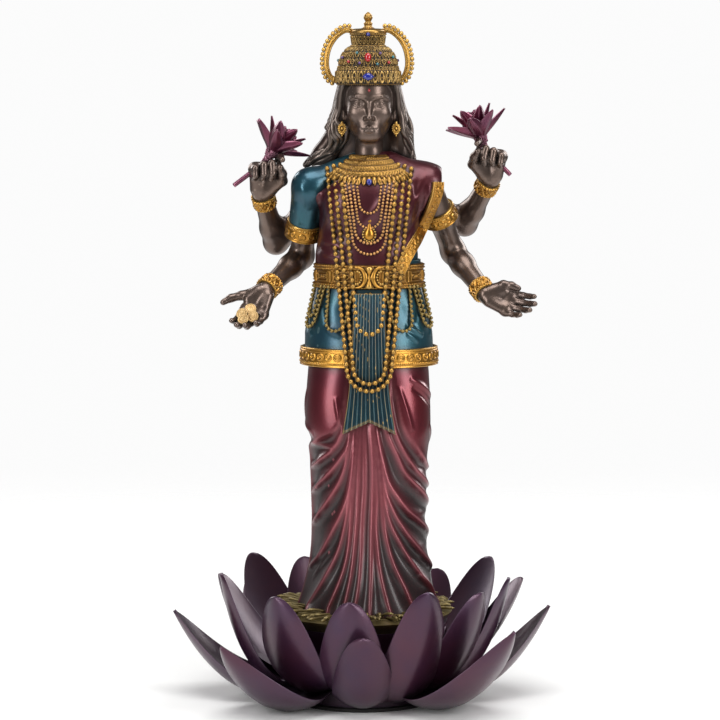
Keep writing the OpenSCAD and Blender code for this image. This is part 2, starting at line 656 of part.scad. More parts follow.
// Share of height, half width and half depth as shares of the head's size, and where its middle lies
HEAD = [
    [collar_share + 0.002, neck_d * 0.54, neck_d * 0.54, 1],
    [0.775, neck_d * 0.5, neck_d * 0.52, 1],
    [chin_share, head_w * 0.26, head_d * 0.36, -1.6],
    [0.80, head_w * 0.39, head_d * 0.42, -1],
    [0.822, head_w * 0.47, head_d * 0.47, -0.3],
    [0.85, head_w * 0.5, head_d * 0.5, 0],
    [0.885, head_w * 0.5, head_d * 0.5, 0.4],
    [0.91, head_w * 0.42, head_d * 0.43, 0.5],
    [0.925, head_w * 0.2, head_d * 0.2, 0.5]
];
function head_at(share, column) = lookup(share, [for (row = HEAD) [row[0], row[column]]]);

nose_out = 1.9;

function bump(x, z, at_x, at_z, w, h) = exp(-pow((x - at_x) / w, 2) - pow((z - at_z) / h, 2));

module head() color([0.24, 0.19, 0.18]) {
    shares = [for (k = [0:18]) collar_share + 0.002 + (0.925 - collar_share - 0.002) * k / 18];
    skin([for (s = shares) [for (k = [0:31]) let (a = 360 * k / 32,
        p = oval(fz(s), head_at(s, 1), head_at(s, 2), a, head_cy + head_at(s, 3)), x = p[0] - figure_x,
        nose = sin(a) < 0 ? nose_out * bump(x, p[2], 0, fz(0.825), 1.5, 2.6) : 0,
        lips = sin(a) < 0 ? 0.5 * bump(x, p[2], 0, fz(0.805), 2.4, 1.2) : 0)
        [p[0], p[1] - nose - lips, p[2]]]]);
}

hair_gap = seat_gap + 0.4;
// Share of height, how far the hair stands out to the side and to the back, and how far forward it reaches
HAIR = [
    [0.62, 0, 3.4, 66], [0.68, 0, 4.4, 64], [0.73, 0, 6, 60],
    [0.745, chest_w * 0.58, 8, 8], [0.77, chest_w * 0.5, 8.4, -6], [0.79, head_w * 0.8, 6.6, -18],
    [0.83, head_w * 0.68, 4, -26], [0.868, head_w * 0.59, 2.6, -34], [0.886, head_w * 0.56, 2.2, -36]
];
function hair_at(share, column) = lookup(share, [for (row = HAIR) [row[0], row[column]]]);

// Half width and half depth of what the hair lies against: the head above, the bodice below
function under_hair(share) = share > 0.78 ? [head_at(share, 1), head_at(share, 2) + head_cy + head_at(share, 3)]
    : [max(half_w(share), 8) * 0.98, max(half_d(share), head_at(max(share, 0.76), 2) + 1)];

module hair() color([0.2, 0.17, 0.17]) {
    m = 16;
    steps = 14;
    skin([for (i = [0:steps]) let (share = 0.62 + (0.886 - 0.62) * i / steps, in = under_hair(share),
        out_w = hair_at(share, 1), from = hair_at(share, 3))
        [for (side = [0, 1], j = [0:m]) let (v = side == 0 ? j / m : 1 - j / m, a = from + (180 - 2 * from) * v,
            wave = side == 0 ? 0.4 * cos(a * 12) : 0,
            w = side == 0 ? max(out_w, in[0] + 1.2) + wave : in[0] + hair_gap,
            d = side == 0 ? in[1] + hair_at(share, 2) + wave : in[1] + hair_gap)
            oval(fz(share), w, d, a)]], sheet = true);
}

band_z = fz(band_share);
band_h = 6;
band_t = 1.6;

module crown_band() color([0.5, 0.37, 0.16]) translate([figure_x, 0, band_z]) difference() {
    cylinder(d = crown_d, h = band_h, $fn = 96);
    translate([0, 0, -1]) cylinder(d = crown_d - 2 * band_t, h = band_h + 2, $fn = 96);
}

cap_r = crown_d / 2 - band_t - seat_gap;
cap_low = fz(0.928);
crown_neck_z = fz(0.951);
crown_neck_r = 6;
crown_top_z = fz(0.968);

// Domed cap with a flared top, turned as one piece; it sits on the head inside the band
module crown_cap() color([0.34, 0.27, 0.16]) translate([figure_x, 0, 0]) rotate_extrude($fn = 96)
    polygon(concat(
        [[0, cap_low], [cap_r * 0.72, cap_low - 1], [cap_r, band_z + 1]],
        [[cap_r, band_z + band_h + seat_gap], [cap_r + band_t * 0.6, band_z + band_h + seat_gap]],
        [for (v = [0.1:0.15:1]) bezier([[cap_r + band_t * 0.6, band_z + band_h + 0.3],
            [cap_r * 0.9, crown_neck_z - 1], [crown_neck_r, crown_neck_z]], v)],
        [[crown_neck_r + 1.2, crown_top_z - 1], [crown_neck_r + 0.6, crown_top_z], [0, crown_top_z]]));

finial_r = 1.7;
finial_top = fz(1);

module crown_finial() color([0.72, 0.52, 0.22]) translate([figure_x, 0, 0]) rotate_extrude($fn = 48)
    polygon([[0, crown_top_z + 0.1], [5, crown_top_z + 0.1], [2.4, crown_top_z + 1.6], [finial_r, crown_top_z + 2.8],
        [finial_r * 0.6, crown_top_z + 3.6], [finial_r, crown_top_z + 4.8], [finial_r * 0.9, finial_top - 1.6],
        [finial_r * 0.3, finial_top - 0.4], [0, finial_top]]);

// Side loops rise from the band's ends, swing out and come back in to the crown's top
module crown_loops() color([0.62, 0.43, 0.16])
    for (side = [-1, 1]) {
        path = [for (k = [0:14]) let (a = -58 + 178 * k / 14)
            [figure_x + side * (crown_d * 0.39 + 6.2 * cos(a)), 0,
                (band_z + crown_top_z) / 2 + (crown_top_z - band_z) * 0.5 * sin(a)]];
        skin(path_rings(path, [for (k = [0:14]) [loop_t / 2, loop_t / 2]], [0, 1, 0], 10));
    }

gem_r = 1.6;

// Red stone on the cap's front, a blue one above it and a blue one on the brow
module crown_gems() {
    for (gem = [[fz(0.936), 1, 9.2], [fz(0.958), 0.75, crown_neck_r + 1.4],
        [band_z - 0.6, 1.25, crown_d / 2 + 1.6]])
        color(gem[1] == 1 ? [0.6, 0.03, 0.06] : [0.06, 0.07, 0.4])
            translate([figure_x, -gem[2] - gem_r * 0.6, gem[0]]) sphere(r = gem_r * gem[1], $fn = 24);
}

earring_z = fz(0.80);

module earrings() color([0.72, 0.52, 0.2])
    for (side = [-1, 1]) translate([figure_x + side * (head_w / 2 + 2.2), head_cy - 4, earring_z])
        rotate([90, 0, 0]) rotate_extrude($fn = 32) translate([1.5, 0]) circle(r = 0.75, $fn = 20);

module choker() color([0.66, 0.47, 0.18]) {
    low = collar_share - 0.004;
    high = collar_share + 0.016;
    r = neck_d * 0.54 + seat_gap;
    skin_loop([for (ring = [[low, r + 1.4], [low, r + 4.4], [collar_share + 0.004, r + 3.2],
        [high, r + 0.9], [high, r]])
        oval_ring(fz(ring[0]) + 0.8, ring[1], ring[1], 24, 0)]);
}

// ---------------------------------------------------------------- what is drawn

felt_pad();
base_bowl();
outer_petals();
middle_petals();
inner_petals();
seed_dais();
stamens();
joining_rod();
skirt();
front_sash();
tunic();
tunic_hem_band();
belt();
belt_clasp();
hip_swags();
bodice();
shoulder_stole();
stole_border();
right_sleeve();
right_cuff();
left_cuff();
right_front_arm();
left_front_arm();
right_rear_arm();
left_rear_arm();
right_front_hand();
left_front_hand();
right_rear_hand();
left_rear_hand();
right_front_bangle();
left_front_bangle();
right_rear_bangle();
left_rear_bangle();
right_lotus_bloom();
left_lotus_bloom();
coins();
head();
hair();
crown_band();
crown_cap();
crown_loops();
crown_finial();
crown_gems();
earrings();
choker();
short_necklace();
pendant();
inner_bead_strand();
middle_bead_strand();
outer_bead_strand();
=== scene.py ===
import bpy
import numpy as np
from mathutils import Matrix


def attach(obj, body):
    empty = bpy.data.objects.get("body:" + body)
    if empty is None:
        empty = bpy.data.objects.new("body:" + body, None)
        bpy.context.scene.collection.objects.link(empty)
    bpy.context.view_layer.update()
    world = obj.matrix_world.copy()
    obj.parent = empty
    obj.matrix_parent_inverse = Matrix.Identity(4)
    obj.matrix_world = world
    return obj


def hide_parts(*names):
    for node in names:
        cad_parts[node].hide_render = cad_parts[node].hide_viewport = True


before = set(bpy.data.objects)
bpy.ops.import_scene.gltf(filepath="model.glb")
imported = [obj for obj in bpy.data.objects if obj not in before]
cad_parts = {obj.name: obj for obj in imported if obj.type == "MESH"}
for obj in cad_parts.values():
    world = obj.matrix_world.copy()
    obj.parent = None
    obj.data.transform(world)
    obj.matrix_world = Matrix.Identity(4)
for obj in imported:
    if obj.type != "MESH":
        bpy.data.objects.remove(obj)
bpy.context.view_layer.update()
mm = 0.001

# ---- Stage: floor, light and camera -----------------------------------------------------------
# A pale table top that fades into the pale surround, two tall soft lights at the front corners,
# one soft light overhead and a weak one behind. The camera stands a little over a metre away.


def feed(node, target, value):
    """Sets an input of a node: a link if the value is an output, else the value itself."""
    if isinstance(value, bpy.types.NodeSocket):
        node.id_data.links.new(value, node.inputs[target])
    else:
        node.inputs[target].default_value = value


def add(tree, kind, **inputs):
    """A new node of that kind, with its inputs set or linked by name (an underscore is a space)."""
    node = tree.nodes.new("ShaderNode" + kind)
    for name, value in inputs.items():
        feed(node, name.replace("_", " "), value)
    return node


def new_material(name):
    """An empty node material with its output node."""
    material = bpy.data.materials.new(name)
    material.use_nodes = True
    material.node_tree.nodes.clear()
    return material, material.node_tree, material.node_tree.nodes.new("ShaderNodeOutputMaterial")


def grid_faces(rows, cols, loop_rows=False, loop_cols=False):
    """Quads between neighbouring points of a rows x cols grid; a looped side joins its end to its start."""
    r = np.arange(rows if loop_rows else rows - 1)[:, None]
    c = np.arange(cols if loop_cols else cols - 1)[None, :]
    a = r * cols + c
    b = r * cols + (c + 1) % cols
    d = (r + 1) % rows * cols + c
    e = (r + 1) % rows * cols + (c + 1) % cols
    return np.stack([a, b, e, d], -1).reshape(-1, 4)


def new_piece(name, points, quads, masks=None):
    """A smooth mesh object from points in millimetres and quads (a quad with the same corner twice in a
    row is a triangle). masks is a dict of one value a point, kept as attributes for the material."""
    points = np.asarray(points, float).reshape(-1, 3) * mm
    quads = np.asarray(quads)
    keep = quads != np.roll(quads, 1, axis=1)
    sizes = keep.sum(1)
    mesh = bpy.data.meshes.new(name)
    mesh.vertices.add(len(points))
    mesh.vertices.foreach_set("co", points.ravel())
    mesh.loops.add(int(sizes.sum()))
    mesh.loops.foreach_set("vertex_index", quads[keep])
    mesh.polygons.add(len(quads))
    mesh.polygons.foreach_set("loop_start", np.concatenate([[0], np.cumsum(sizes)[:-1]]))
    mesh.polygons.foreach_set("use_smooth", np.ones(len(quads), bool))
    mesh.update(calc_edges=True)
    mesh.validate()
    for key, values in (masks or {}).items():
        mesh.attributes.new(key, "FLOAT", "POINT").data.foreach_set("value", np.asarray(values, float).ravel())
    piece = bpy.data.objects.new(name, mesh)
    bpy.context.scene.collection.objects.link(piece)
    return piece


def circle(count):
    """That many equal turns of a full circle, in radians, from 0 on."""
    return np.linspace(0, 2 * np.pi, count, endpoint=False)


def xyz(x, y, z):
    """Points from their three coordinates, each stretched to the shape of the others."""
    return np.stack(np.broadcast_arrays(x, y, z), -1)


def unit(vectors):
    """The vectors scaled to a length of 1."""
    return vectors / np.maximum(np.linalg.norm(vectors, axis=-1, keepdims=True), 1e-9)


floor_reach, floor_rings, floor_sides = 1400, 24, 96
rings = np.linspace(0.01, 1, floor_rings)[:, None] ** 2 * floor_reach
turns = circle(floor_sides)[None, :]
floor = new_piece("table_top", xyz(rings * np.cos(turns), rings * np.sin(turns), -0.05),
                  grid_faces(floor_rings, floor_sides, loop_cols=True))
material, tree, out = new_material("pale_table")
place = add(tree, "TexCoord").outputs["Object"]
distance = add(tree, "VectorMath", Vector=place)
distance.operation = "LENGTH"
fade = add(tree, "MapRange", Value=distance.outputs["Value"], From_Min=0.16, From_Max=0.75)
fade.interpolation_type = "SMOOTHSTEP"
pale = add(tree, "BsdfPrincipled", Base_Color=(0.93, 0.93, 0.92, 1), Roughness=0.7)
clear = add(tree, "BsdfTransparent")
blend = add(tree, "MixShader", Fac=fade.outputs["Result"])
tree.links.new(pale.outputs[0], blend.inputs[1])
tree.links.new(clear.outputs[0], blend.inputs[2])
tree.links.new(blend.outputs[0], out.inputs["Surface"])
floor.data.materials.append(material)

world = bpy.data.worlds.new("surround")
world.use_nodes = True
sky = world.node_tree
seen = add(sky, "LightPath").outputs["Is Camera Ray"]
strength = add(sky, "MapRange", Value=seen, To_Min=0.15, To_Max=0.97)
sky.nodes["Background"].inputs["Color"].default_value = (1, 1, 1, 1)
sky.links.new(strength.outputs["Result"], sky.nodes["Background"].inputs["Strength"])
bpy.context.scene.world = world
bpy.context.scene.view_settings.view_transform = "Standard"


def aim(obj, place, target):
    """Stands obj at place, turned so that it looks at target (both in metres)."""
    ahead = np.array(target) - np.array(place)
    side = unit(np.cross(ahead, [0, 0, 1]))
    ahead = unit(ahead)
    up = np.cross(side, ahead)
    turned = np.eye(4)
    turned[:3, :4] = np.stack([side, up, -ahead, np.array(place)], 1)
    obj.matrix_world = Matrix(turned.tolist())


for name, place, width, height, watts in (
    ("left_front_light", (-0.75, -0.75, 0.42), 0.32, 0.9, 6.5),
    ("right_front_light", (0.8, -0.7, 0.45), 0.32, 0.9, 7),
    ("overhead_light", (0.05, -0.25, 1.0), 0.8, 0.6, 7),
    ("left_back_light", (-0.6, 0.7, 0.6), 0.4, 0.8, 4.5),
    ("right_back_light", (0.6, 0.7, 0.6), 0.4, 0.8, 4.5),
):
    lamp = bpy.data.lights.new(name, "AREA")
    lamp.shape = "RECTANGLE"
    lamp.size = width
    lamp.size_y = height
    lamp.energy = watts
    light = bpy.data.objects.new(name, lamp)
    bpy.context.scene.collection.objects.link(light)
    aim(light, place, (0, 0, 0.14))

camera_distance = 1.15
camera_tilt = np.radians(6)
look_at = np.array([-0.0012, 0, 0.1368])
lens = bpy.data.cameras.new("camera")
lens.lens = 143.75
lens.sensor_width = 36
lens.clip_start = 0.05
lens.clip_end = 20
camera = bpy.data.objects.new("camera", lens)
bpy.context.scene.collection.objects.link(camera)
aim(camera, look_at + camera_distance * np.array([0, -np.cos(camera_tilt), np.sin(camera_tilt)]), look_at)
bpy.context.scene.camera = camera

# ---- Lotus base -------------------------------------------------------------------------------
# The base is one hand-modelled lotus: a bowl with three rows of thick petals, cast in resin. It is
# sprayed with dark aubergine pearl paint and rubbed back a little, so the edges show darker metal.


def relief_group():
    """Antique finish. Hollow is how shut-in a point is (ambient occlusion) or the mesh's own mask, whichever is
    greater; crest is its pointiness or own mask. The wash colour fills the hollows, the dry-brushed colour
    catches the crests, and slow noise makes the paint uneven. Some meshes' own masks are painted light. Their
    hollow mask is painted shade: in the skirt's fold valleys and towards its hem, in the sash's pleats, and on
    the backs of the beads and their beds. Their crest mask is a painted highlight: on the fronts of the beads
    and, with dry-brushed paint, along the skirt's ridges."""
    group = bpy.data.node_groups.new("antique_relief", "ShaderNodeTree")
    face = group.interface
    for name in ("Paint", "Second Paint", "Wash", "Brushed"):
        face.new_socket(name, in_out="INPUT", socket_type="NodeSocketColor")
    for name in ("Patch Scale", "Second Amount", "Wash Amount", "Brushed Amount", "Reach"):
        face.new_socket(name, in_out="INPUT", socket_type="NodeSocketFloat")
    face.new_socket("Colour", in_out="OUTPUT", socket_type="NodeSocketColor")
    face.new_socket("Hollow", in_out="OUTPUT", socket_type="NodeSocketFloat")
    face.new_socket("Crest", in_out="OUTPUT", socket_type="NodeSocketFloat")
    given = group.nodes.new("NodeGroupInput").outputs
    result = group.nodes.new("NodeGroupOutput").inputs
    place = add(group, "TexCoord").outputs["Object"]
    patches = add(group, "TexNoise", Vector=place, Scale=given["Patch Scale"], Detail=5.0, Roughness=0.6)
    patch = add(group, "MapRange", Value=patches.outputs["Fac"], From_Min=0.35, From_Max=0.65)
    second = maths(group, "MULTIPLY", patch.outputs["Result"], given["Second Amount"])
    colour = mix_colour(group, second, given["Paint"], given["Second Paint"])
    shut_in = group.nodes.new("ShaderNodeAmbientOcclusion")
    shut_in.samples = 6
    group.links.new(given["Reach"], shut_in.inputs["Distance"])
    dark = add(group, "MapRange", Value=shut_in.outputs["AO"], From_Min=0.92, From_Max=0.3)
    hollow = maths(group, "MAXIMUM", dark.outputs["Result"], mask_value(group, "hollow"))
    grain = add(group, "TexNoise", Vector=place, Scale=1300.0, Detail=3.0)
    uneven = add(group, "MapRange", Value=grain.outputs["Fac"], To_Min=0.75, To_Max=1.25)
    wash = maths(group, "MULTIPLY", hollow, given["Wash Amount"])
    wash = maths(group, "MULTIPLY", wash, uneven.outputs["Result"])
    wash.node.use_clamp = True
    colour = mix_colour(group, wash, colour, given["Wash"])
    point = group.nodes.new("ShaderNodeNewGeometry").outputs["Pointiness"]
    edge = add(group, "MapRange", Value=point, From_Min=0.52, From_Max=0.62)
    crest = maths(group, "MAXIMUM", edge.outputs["Result"], mask_value(group, "crest"))
    brushed = maths(group, "MULTIPLY", crest, given["Brushed Amount"])
    brushed = maths(group, "MULTIPLY", brushed, uneven.outputs["Result"])
    brushed.node.use_clamp = True
    colour = mix_colour(group, brushed, colour, given["Brushed"])
    group.links.new(colour, result["Colour"])
    group.links.new(hollow, result["Hollow"])
    group.links.new(crest, result["Crest"])
    return group


def mask_value(tree, name):
    """The mesh's own mask of that name, as a node output."""
    node = tree.nodes.new("ShaderNodeAttribute")
    node.attribute_name = name
    return node.outputs["Fac"]


def maths(tree, operation, first, second=0.0):
    """The output of a Math node on two values."""
    node = tree.nodes.new("ShaderNodeMath")
    node.operation = operation
    for index, value in enumerate((first, second)):
        feed(node, index, value)
    return node.outputs[0]


def mix_colour(tree, share, first, second):
    """The output of a colour Mix node: first where share is 0, second where it is 1."""
    node = tree.nodes.new("ShaderNodeMix")
    node.data_type = "RGBA"
    for index, value in ((0, share), (6, first), (7, second)):
        feed(node, index, value)
    return node.outputs[2]


def rgb(red, green, blue):
    """A colour as a painter reads it off a chart, 0 to 255, made linear for the shader."""
    c = np.array([red, green, blue]) / 255
    linear = np.where(c <= 0.04045, c / 12.92, ((c + 0.055) / 1.055) ** 2.4)
    return (*linear, 1)


relief = relief_group()


def paint(name, colour, second, wash, brushed, metallic, rough, coat, patch=60.0, second_amount=0.6,
          wash_amount=0.8, brushed_amount=0.4, reach=0.0022, grain=700.0, grain_height=0.00003):
    """A pearl or metallic paint over cast resin: the antique relief colours, a roughness that rises in
    the hollows, fine cast grain as bump and a thin gloss coat."""
    material, tree, out = new_material(name)
    mix = tree.nodes.new("ShaderNodeGroup")
    mix.node_tree = relief
    for key, value in (("Paint", rgb(*colour)), ("Second Paint", rgb(*second)), ("Wash", rgb(*wash)),
                       ("Brushed", rgb(*brushed)), ("Patch Scale", patch), ("Second Amount", second_amount),
                       ("Wash Amount", wash_amount), ("Brushed Amount", brushed_amount), ("Reach", reach)):
        mix.inputs[key].default_value = value
    place = add(tree, "TexCoord").outputs["Object"]
    cast = add(tree, "TexNoise", Vector=place, Scale=grain, Detail=4.0, Roughness=0.65)
    ripple = add(tree, "TexNoise", Vector=place, Scale=grain * 0.12, Detail=3.0)
    height = maths(tree, "ADD", cast.outputs["Fac"], maths(tree, "MULTIPLY", ripple.outputs["Fac"], 2.5))
    bump = add(tree, "Bump", Height=height, Strength=1.0, Distance=grain_height)
    gloss = add(tree, "MapRange", Value=cast.outputs["Fac"], To_Min=rough * 0.8, To_Max=rough * 1.25)
    dull = maths(tree, "ADD", gloss.outputs["Result"], maths(tree, "MULTIPLY", mix.outputs["Hollow"], 0.22))
    bright = maths(tree, "SUBTRACT", 1.0, maths(tree, "MULTIPLY", mix.outputs["Hollow"], 0.5))
    shine = maths(tree, "MULTIPLY", bright, metallic)
    shader = add(tree, "BsdfPrincipled", Base_Color=mix.outputs["Colour"], Roughness=dull, Metallic=shine,
                 Normal=bump.outputs["Normal"], Coat_Weight=coat, Coat_Roughness=0.22)
    tree.links.new(shader.outputs[0], out.inputs["Surface"])
    return material


def finish_piece(piece, material, slot, *nodes):
    """Gives a finished piece its material, puts it on the statue's one body and lets it stand for its CAD
    nodes; slot is not used."""
    piece.data.materials.append(material)
    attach(piece, "root")
    if nodes:
        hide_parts(*nodes)
    return piece


def joined(parts):
    """Several (points, quads) pairs as one, each with its quads renumbered."""
    starts = np.cumsum([0] + [len(p[0]) for p in parts[:-1]])
    return np.concatenate([p[0] for p in parts]), np.concatenate([p[1] + s for p, s in zip(parts, starts)])


def lengths(path):
    """Length of the path from its start to each of its points."""
    return np.concatenate([[0], np.cumsum(np.linalg.norm(np.diff(path, axis=0), axis=1))])


def smooth_curve(points, count):
    """Catmull-Rom curve through the points, each span's cubic evened out by the root of its chord's
    length, then sampled at equal steps of its length."""
    p = np.asarray(points, float)
    p = np.concatenate([[2 * p[0] - p[1]], p, [2 * p[-1] - p[-2]]])
    t = np.concatenate([[0], np.cumsum(np.maximum(np.linalg.norm(np.diff(p, axis=0), axis=1), 1e-6) ** 0.5)])
    fine = np.linspace(t[1], t[-2], 40 * len(p))
    i = np.clip(np.searchsorted(t, fine, side="right") - 1, 1, len(p) - 3)
    t0, t1, t2, t3 = (t[i + k][:, None] for k in (-1, 0, 1, 2))
    p0, p1, p2, p3 = (p[i + k] for k in (-1, 0, 1, 2))
    f = fine[:, None]

    def between(start, end, first, second):
        """First at the start of a span, second at its end, and evenly mixed between."""
        return (end - f) / (end - start) * first + (f - start) / (end - start) * second
    a1, a2, a3 = between(t0, t1, p0, p1), between(t1, t2, p1, p2), between(t2, t3, p2, p3)
    c = between(t1, t2, between(t0, t2, a1, a2), between(t1, t3, a2, a3))
    way = lengths(c)
    even = np.linspace(0, way[-1], count)
    return np.stack([np.interp(even, way, c[:, k]) for k in range(c.shape[1])], 1)


def outward(points, quads):
    """The quads turned, if need be, so that the closed surface's signed volume (the sum of a . (b x c) over
    its triangles) is positive."""
    p = points.reshape(-1, 3)
    a, b, c, d = (p[quads[:, k]] for k in range(4))
    volume = np.einsum("ij,ij->", a, np.cross(b, c)) + np.einsum("ij,ij->", a, np.cross(c, d))
    return quads if volume > 0 else quads[:, ::-1]


def solid(rings_of_points):
    """Closed solid through rows of rings: quads between the rings, and a fan of triangles from each end
    ring to its own middle."""
    rows, cols = rings_of_points.shape[:2]
    points = rings_of_points.reshape(-1, 3)
    ring = np.arange(cols)
    following = (ring + 1) % cols
    ends = np.stack([rings_of_points[0].mean(0), rings_of_points[-1].mean(0)])
    foot = np.full(cols, rows * cols)
    base = foot - cols
    first = np.stack([following, ring, foot, foot], 1)
    last = np.stack([base + ring, base + following, foot + 1, foot + 1], 1)
    points = np.concatenate([points, ends])
    quads = np.concatenate([grid_faces(rows, cols, loop_cols=True), first, last])
    return points, outward(points, quads)


def turned(points, degrees):
    """Points turned about the upright axis, so that +X goes to that bearing."""
    a = np.radians(degrees)
    return points @ np.array([[np.cos(a), np.sin(a), 0], [-np.sin(a), np.cos(a), 0], [0, 0, 1]])


def bell(x, width):
    """A bell curve: exp of minus the square of x / width."""
    return np.exp(-(x / width) ** 2)


def petal(root, sag, tip, width, root_share, cup, seed, hook, round_tip, rows=44, cols=26, thick=3.0):
    """A closed petal leaning out along +X. Its middle line is a quadratic curve root-sag-tip given as
    (radius, height). Half width = width/2 * (v + root_share)^0.5 (1 - v^2.6)^round_tip scaled to 1; the
    cross-section is an arc of +-cup degrees, with a keel along the middle and faint veins. The outer and
    inner faces meet at thin edges."""
    rng = np.random.default_rng(seed)
    v = 1 - (1 - np.linspace(0, 1, rows)) ** 1.35
    root, sag, tip = (np.array(p, float) for p in (root, sag, tip))
    v = v[:, None]
    mid = (1 - v) ** 2 * root + 2 * (v * (1 - v)) * sag + v ** 2 * tip
    ahead = unit(2 * (1 - v) * (sag - root) + 2 * v * (tip - sag))
    shape = (v + root_share) ** 0.5 * (1 - 0.9985 * v ** 2.6) ** round_tip
    half = width / 2 * shape / shape.max()
    u, face = np.cos(circle(cols)), np.sin(circle(cols))
    lean = rng.normal(0, 0.03)
    arc = np.radians(cup) * (1 - 0.25 * v)
    bend = arc * u
    radius = half / np.sin(arc)
    along_side = radius * np.sin(bend) * (1 + lean * np.sin(3 * v))
    edge_wave = 0.25 * np.sin(7 * v + 5 * rng.random() + 1.5 * u) * np.abs(u) ** 3
    keel = 0.5 * bell(u, 0.16) * np.sin(np.pi * v) * (face > 0)
    veins = 0.07 * np.cos(26 * u) * np.sin(np.pi * v) * (1 - u ** 4)
    depth = thick / 2 * (1 - 0.82 * np.abs(u) ** 3) * (1 - 0.55 * v ** 6)
    off = -radius * (1 - np.cos(bend)) + face * depth + keel + veins * np.sign(face) + edge_wave
    lift = hook * v ** 4
    x = mid[:, :1] + ahead[:, 1:] * off - lift * 0.6
    z = mid[:, 1:] - ahead[:, :1] * off + lift
    points = xyz(x, along_side, z).reshape(-1, 3)
    quads = grid_faces(rows, cols, loop_cols=True)
    ends = []
    for row in (0, rows - 1):
        ring = row * cols + np.arange(cols)
        first, second = ring[:cols // 2], ring[cols // 2:][::-1]
        strip = np.stack([first[:-1], first[1:], second[1:], second[:-1]], 1)
        ends.append(strip[:, ::-1] if row == 0 else strip)
    return points, outward(points, np.concatenate([quads] + ends))


lotus_paint = paint("aubergine_pearl", (58, 34, 60), (78, 38, 54), (13, 10, 15), (104, 84, 108),
                    0.62, 0.36, 0.35, patch=28.0, second_amount=0.75, wash_amount=0.75, brushed_amount=0.35,
                    reach=0.006)

# bearing of each petal from the front towards the figure's left, tip radius, tip height, width
outer_row = [(0, 57, 35, 25), (48, 79, 37, 35), (93, 76, 36.5, 35), (138, 74, 38, 34), (180, 72, 39, 34),
             (-138, 74, 38, 34), (-93, 77, 34.5, 35), (-48, 74.5, 30.5, 35)]
middle_row = [(26, 57, 52, 27), (80, 59.5, 50.5, 29), (126, 66, 50.5, 30), (176, 64, 46, 30),
              (-134, 65, 51, 30), (-84, 57.5, 51.5, 29)]
inner_row = [(-6, 51, 48, 26), (53, 58, 49, 31), (103, 67, 46, 28), (151, 66, 42, 28), (-157, 64, 47, 28),
             (-110, 63, 46.5, 28), (-42, 51.5, 48, 30)]
for name, row, root, sag, cup, root_share, hook, node in (
    ("outer_petals_painted", outer_row, (22, 8), (47, -11.5), 38, 0.3, 0.8, "outer_petals"),
    ("middle_petals_painted", middle_row, (23, 5), (47, 1), 34, 0.5, 0.5, "middle_petals"),
    ("inner_petals_painted", inner_row, (25, 8), (46, 5), 32, 0.6, 0.5, "inner_petals"),
):
    petals = []
    for k, (bearing, tip_r, tip_z, width) in enumerate(row):
        low, round_tip = sag, 0.5
        if node == "outer_petals":
            low = (sag[0] * tip_r / 74, sag[1] * (0.7 if bearing == 0 else 1))
            round_tip = 0.5 if bearing == 0 else 0.75
        points, quads = petal(root, low, (tip_r, tip_z - hook), width, root_share, cup + 3 * np.sin(bearing),
                              k + 7 * len(row), hook, round_tip)
        petals.append((turned(points, bearing - 90), quads))
    finish_piece(new_piece(name, *joined(petals)), lotus_paint, "lotus_resin", node)

# ---- Bowl, dais, stamens, felt and rod --------------------------------------------------------
# The middle of the same casting: the bowl under the petals, and the flat seed head that the figure
# stands on, ringed by short stamens picked out in olive gold. Felt is glued under it, and a steel
# rod pins the figure on. These pieces keep their CAD shape, and the stamens are remade finer.


def dress(node, material):
    """Gives a CAD node a material and leaves its mesh as it is."""
    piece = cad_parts[node]
    piece.data.materials.clear()
    piece.data.materials.append(material)


olive_gold = paint("olive_gold_wash", (78, 68, 42), (50, 50, 36), (14, 14, 11), (156, 136, 84), 0.6, 0.42, 0.1,
                   wash_amount=0.9, brushed_amount=0.6, reach=0.003)
steel = paint("bright_steel", (170, 170, 172), (150, 150, 154), (90, 90, 92), (210, 210, 212), 1.0, 0.25, 0.0)
felt = paint("black_felt", (26, 24, 24), (34, 31, 30), (14, 13, 13), (44, 42, 40), 0.0, 0.95, 0.0,
             grain=2600.0, grain_height=0.0002)
dress("base_bowl", lotus_paint)
dress("seed_dais", olive_gold)
dress("joining_rod", steel)
dress("felt_pad", felt)


def frames_along(path, up=(0, 0, 1)):
    """Unit side and up directions at each point of a path: side = up x heading, up = heading x side."""
    heading = unit(np.gradient(path, axis=0))
    side = unit(np.cross(up, heading))
    return side, np.cross(heading, side)


def swept(path, radii, sides=8, up=(0, 0, 1), flat=1.0, twist=0.0):
    """Closed tube: an ellipse of that radius (times flat along the up direction) carried along the path,
    turned by twist degrees over its length."""
    path = np.asarray(path, float)
    side, above = frames_along(path, up)
    radii = np.broadcast_to(np.asarray(radii, float), (len(path),))[:, None, None]
    a = circle(sides)[None, :, None]
    a = a + np.radians(twist) * np.linspace(0, 1, len(path))[:, None, None]
    return solid(path[:, None] + radii * (np.cos(a) * side[:, None] + flat * np.sin(a) * above[:, None]))


stamen_count, dais_z = 150, 36.5
rng = np.random.default_rng(11)
stamen_rows = []
for k in range(stamen_count):
    bearing = 360 * k / stamen_count + rng.normal(0, 1.5)
    start = rng.uniform(22, 27)
    length = rng.uniform(7, 12)
    lift = rng.uniform(0.2, 2.4)
    way = np.linspace(0, 1, 7)[:, None]
    curve = np.concatenate([start + length * way, rng.normal(0, 1.2) * way ** 2,
                            dais_z + rng.uniform(0, 1.4) + lift * np.sin(np.pi * way * 0.6)], 1)
    thick = 0.5 + 0.35 * way[:, 0] ** 3
    thick[-1] = 0.3
    points, quads = swept(curve, thick, 6)
    stamen_rows.append((turned(points, bearing), quads))
stamens = new_piece("stamen_ring", *joined(stamen_rows))
finish_piece(stamens, olive_gold, "stamen_paint", "stamens")
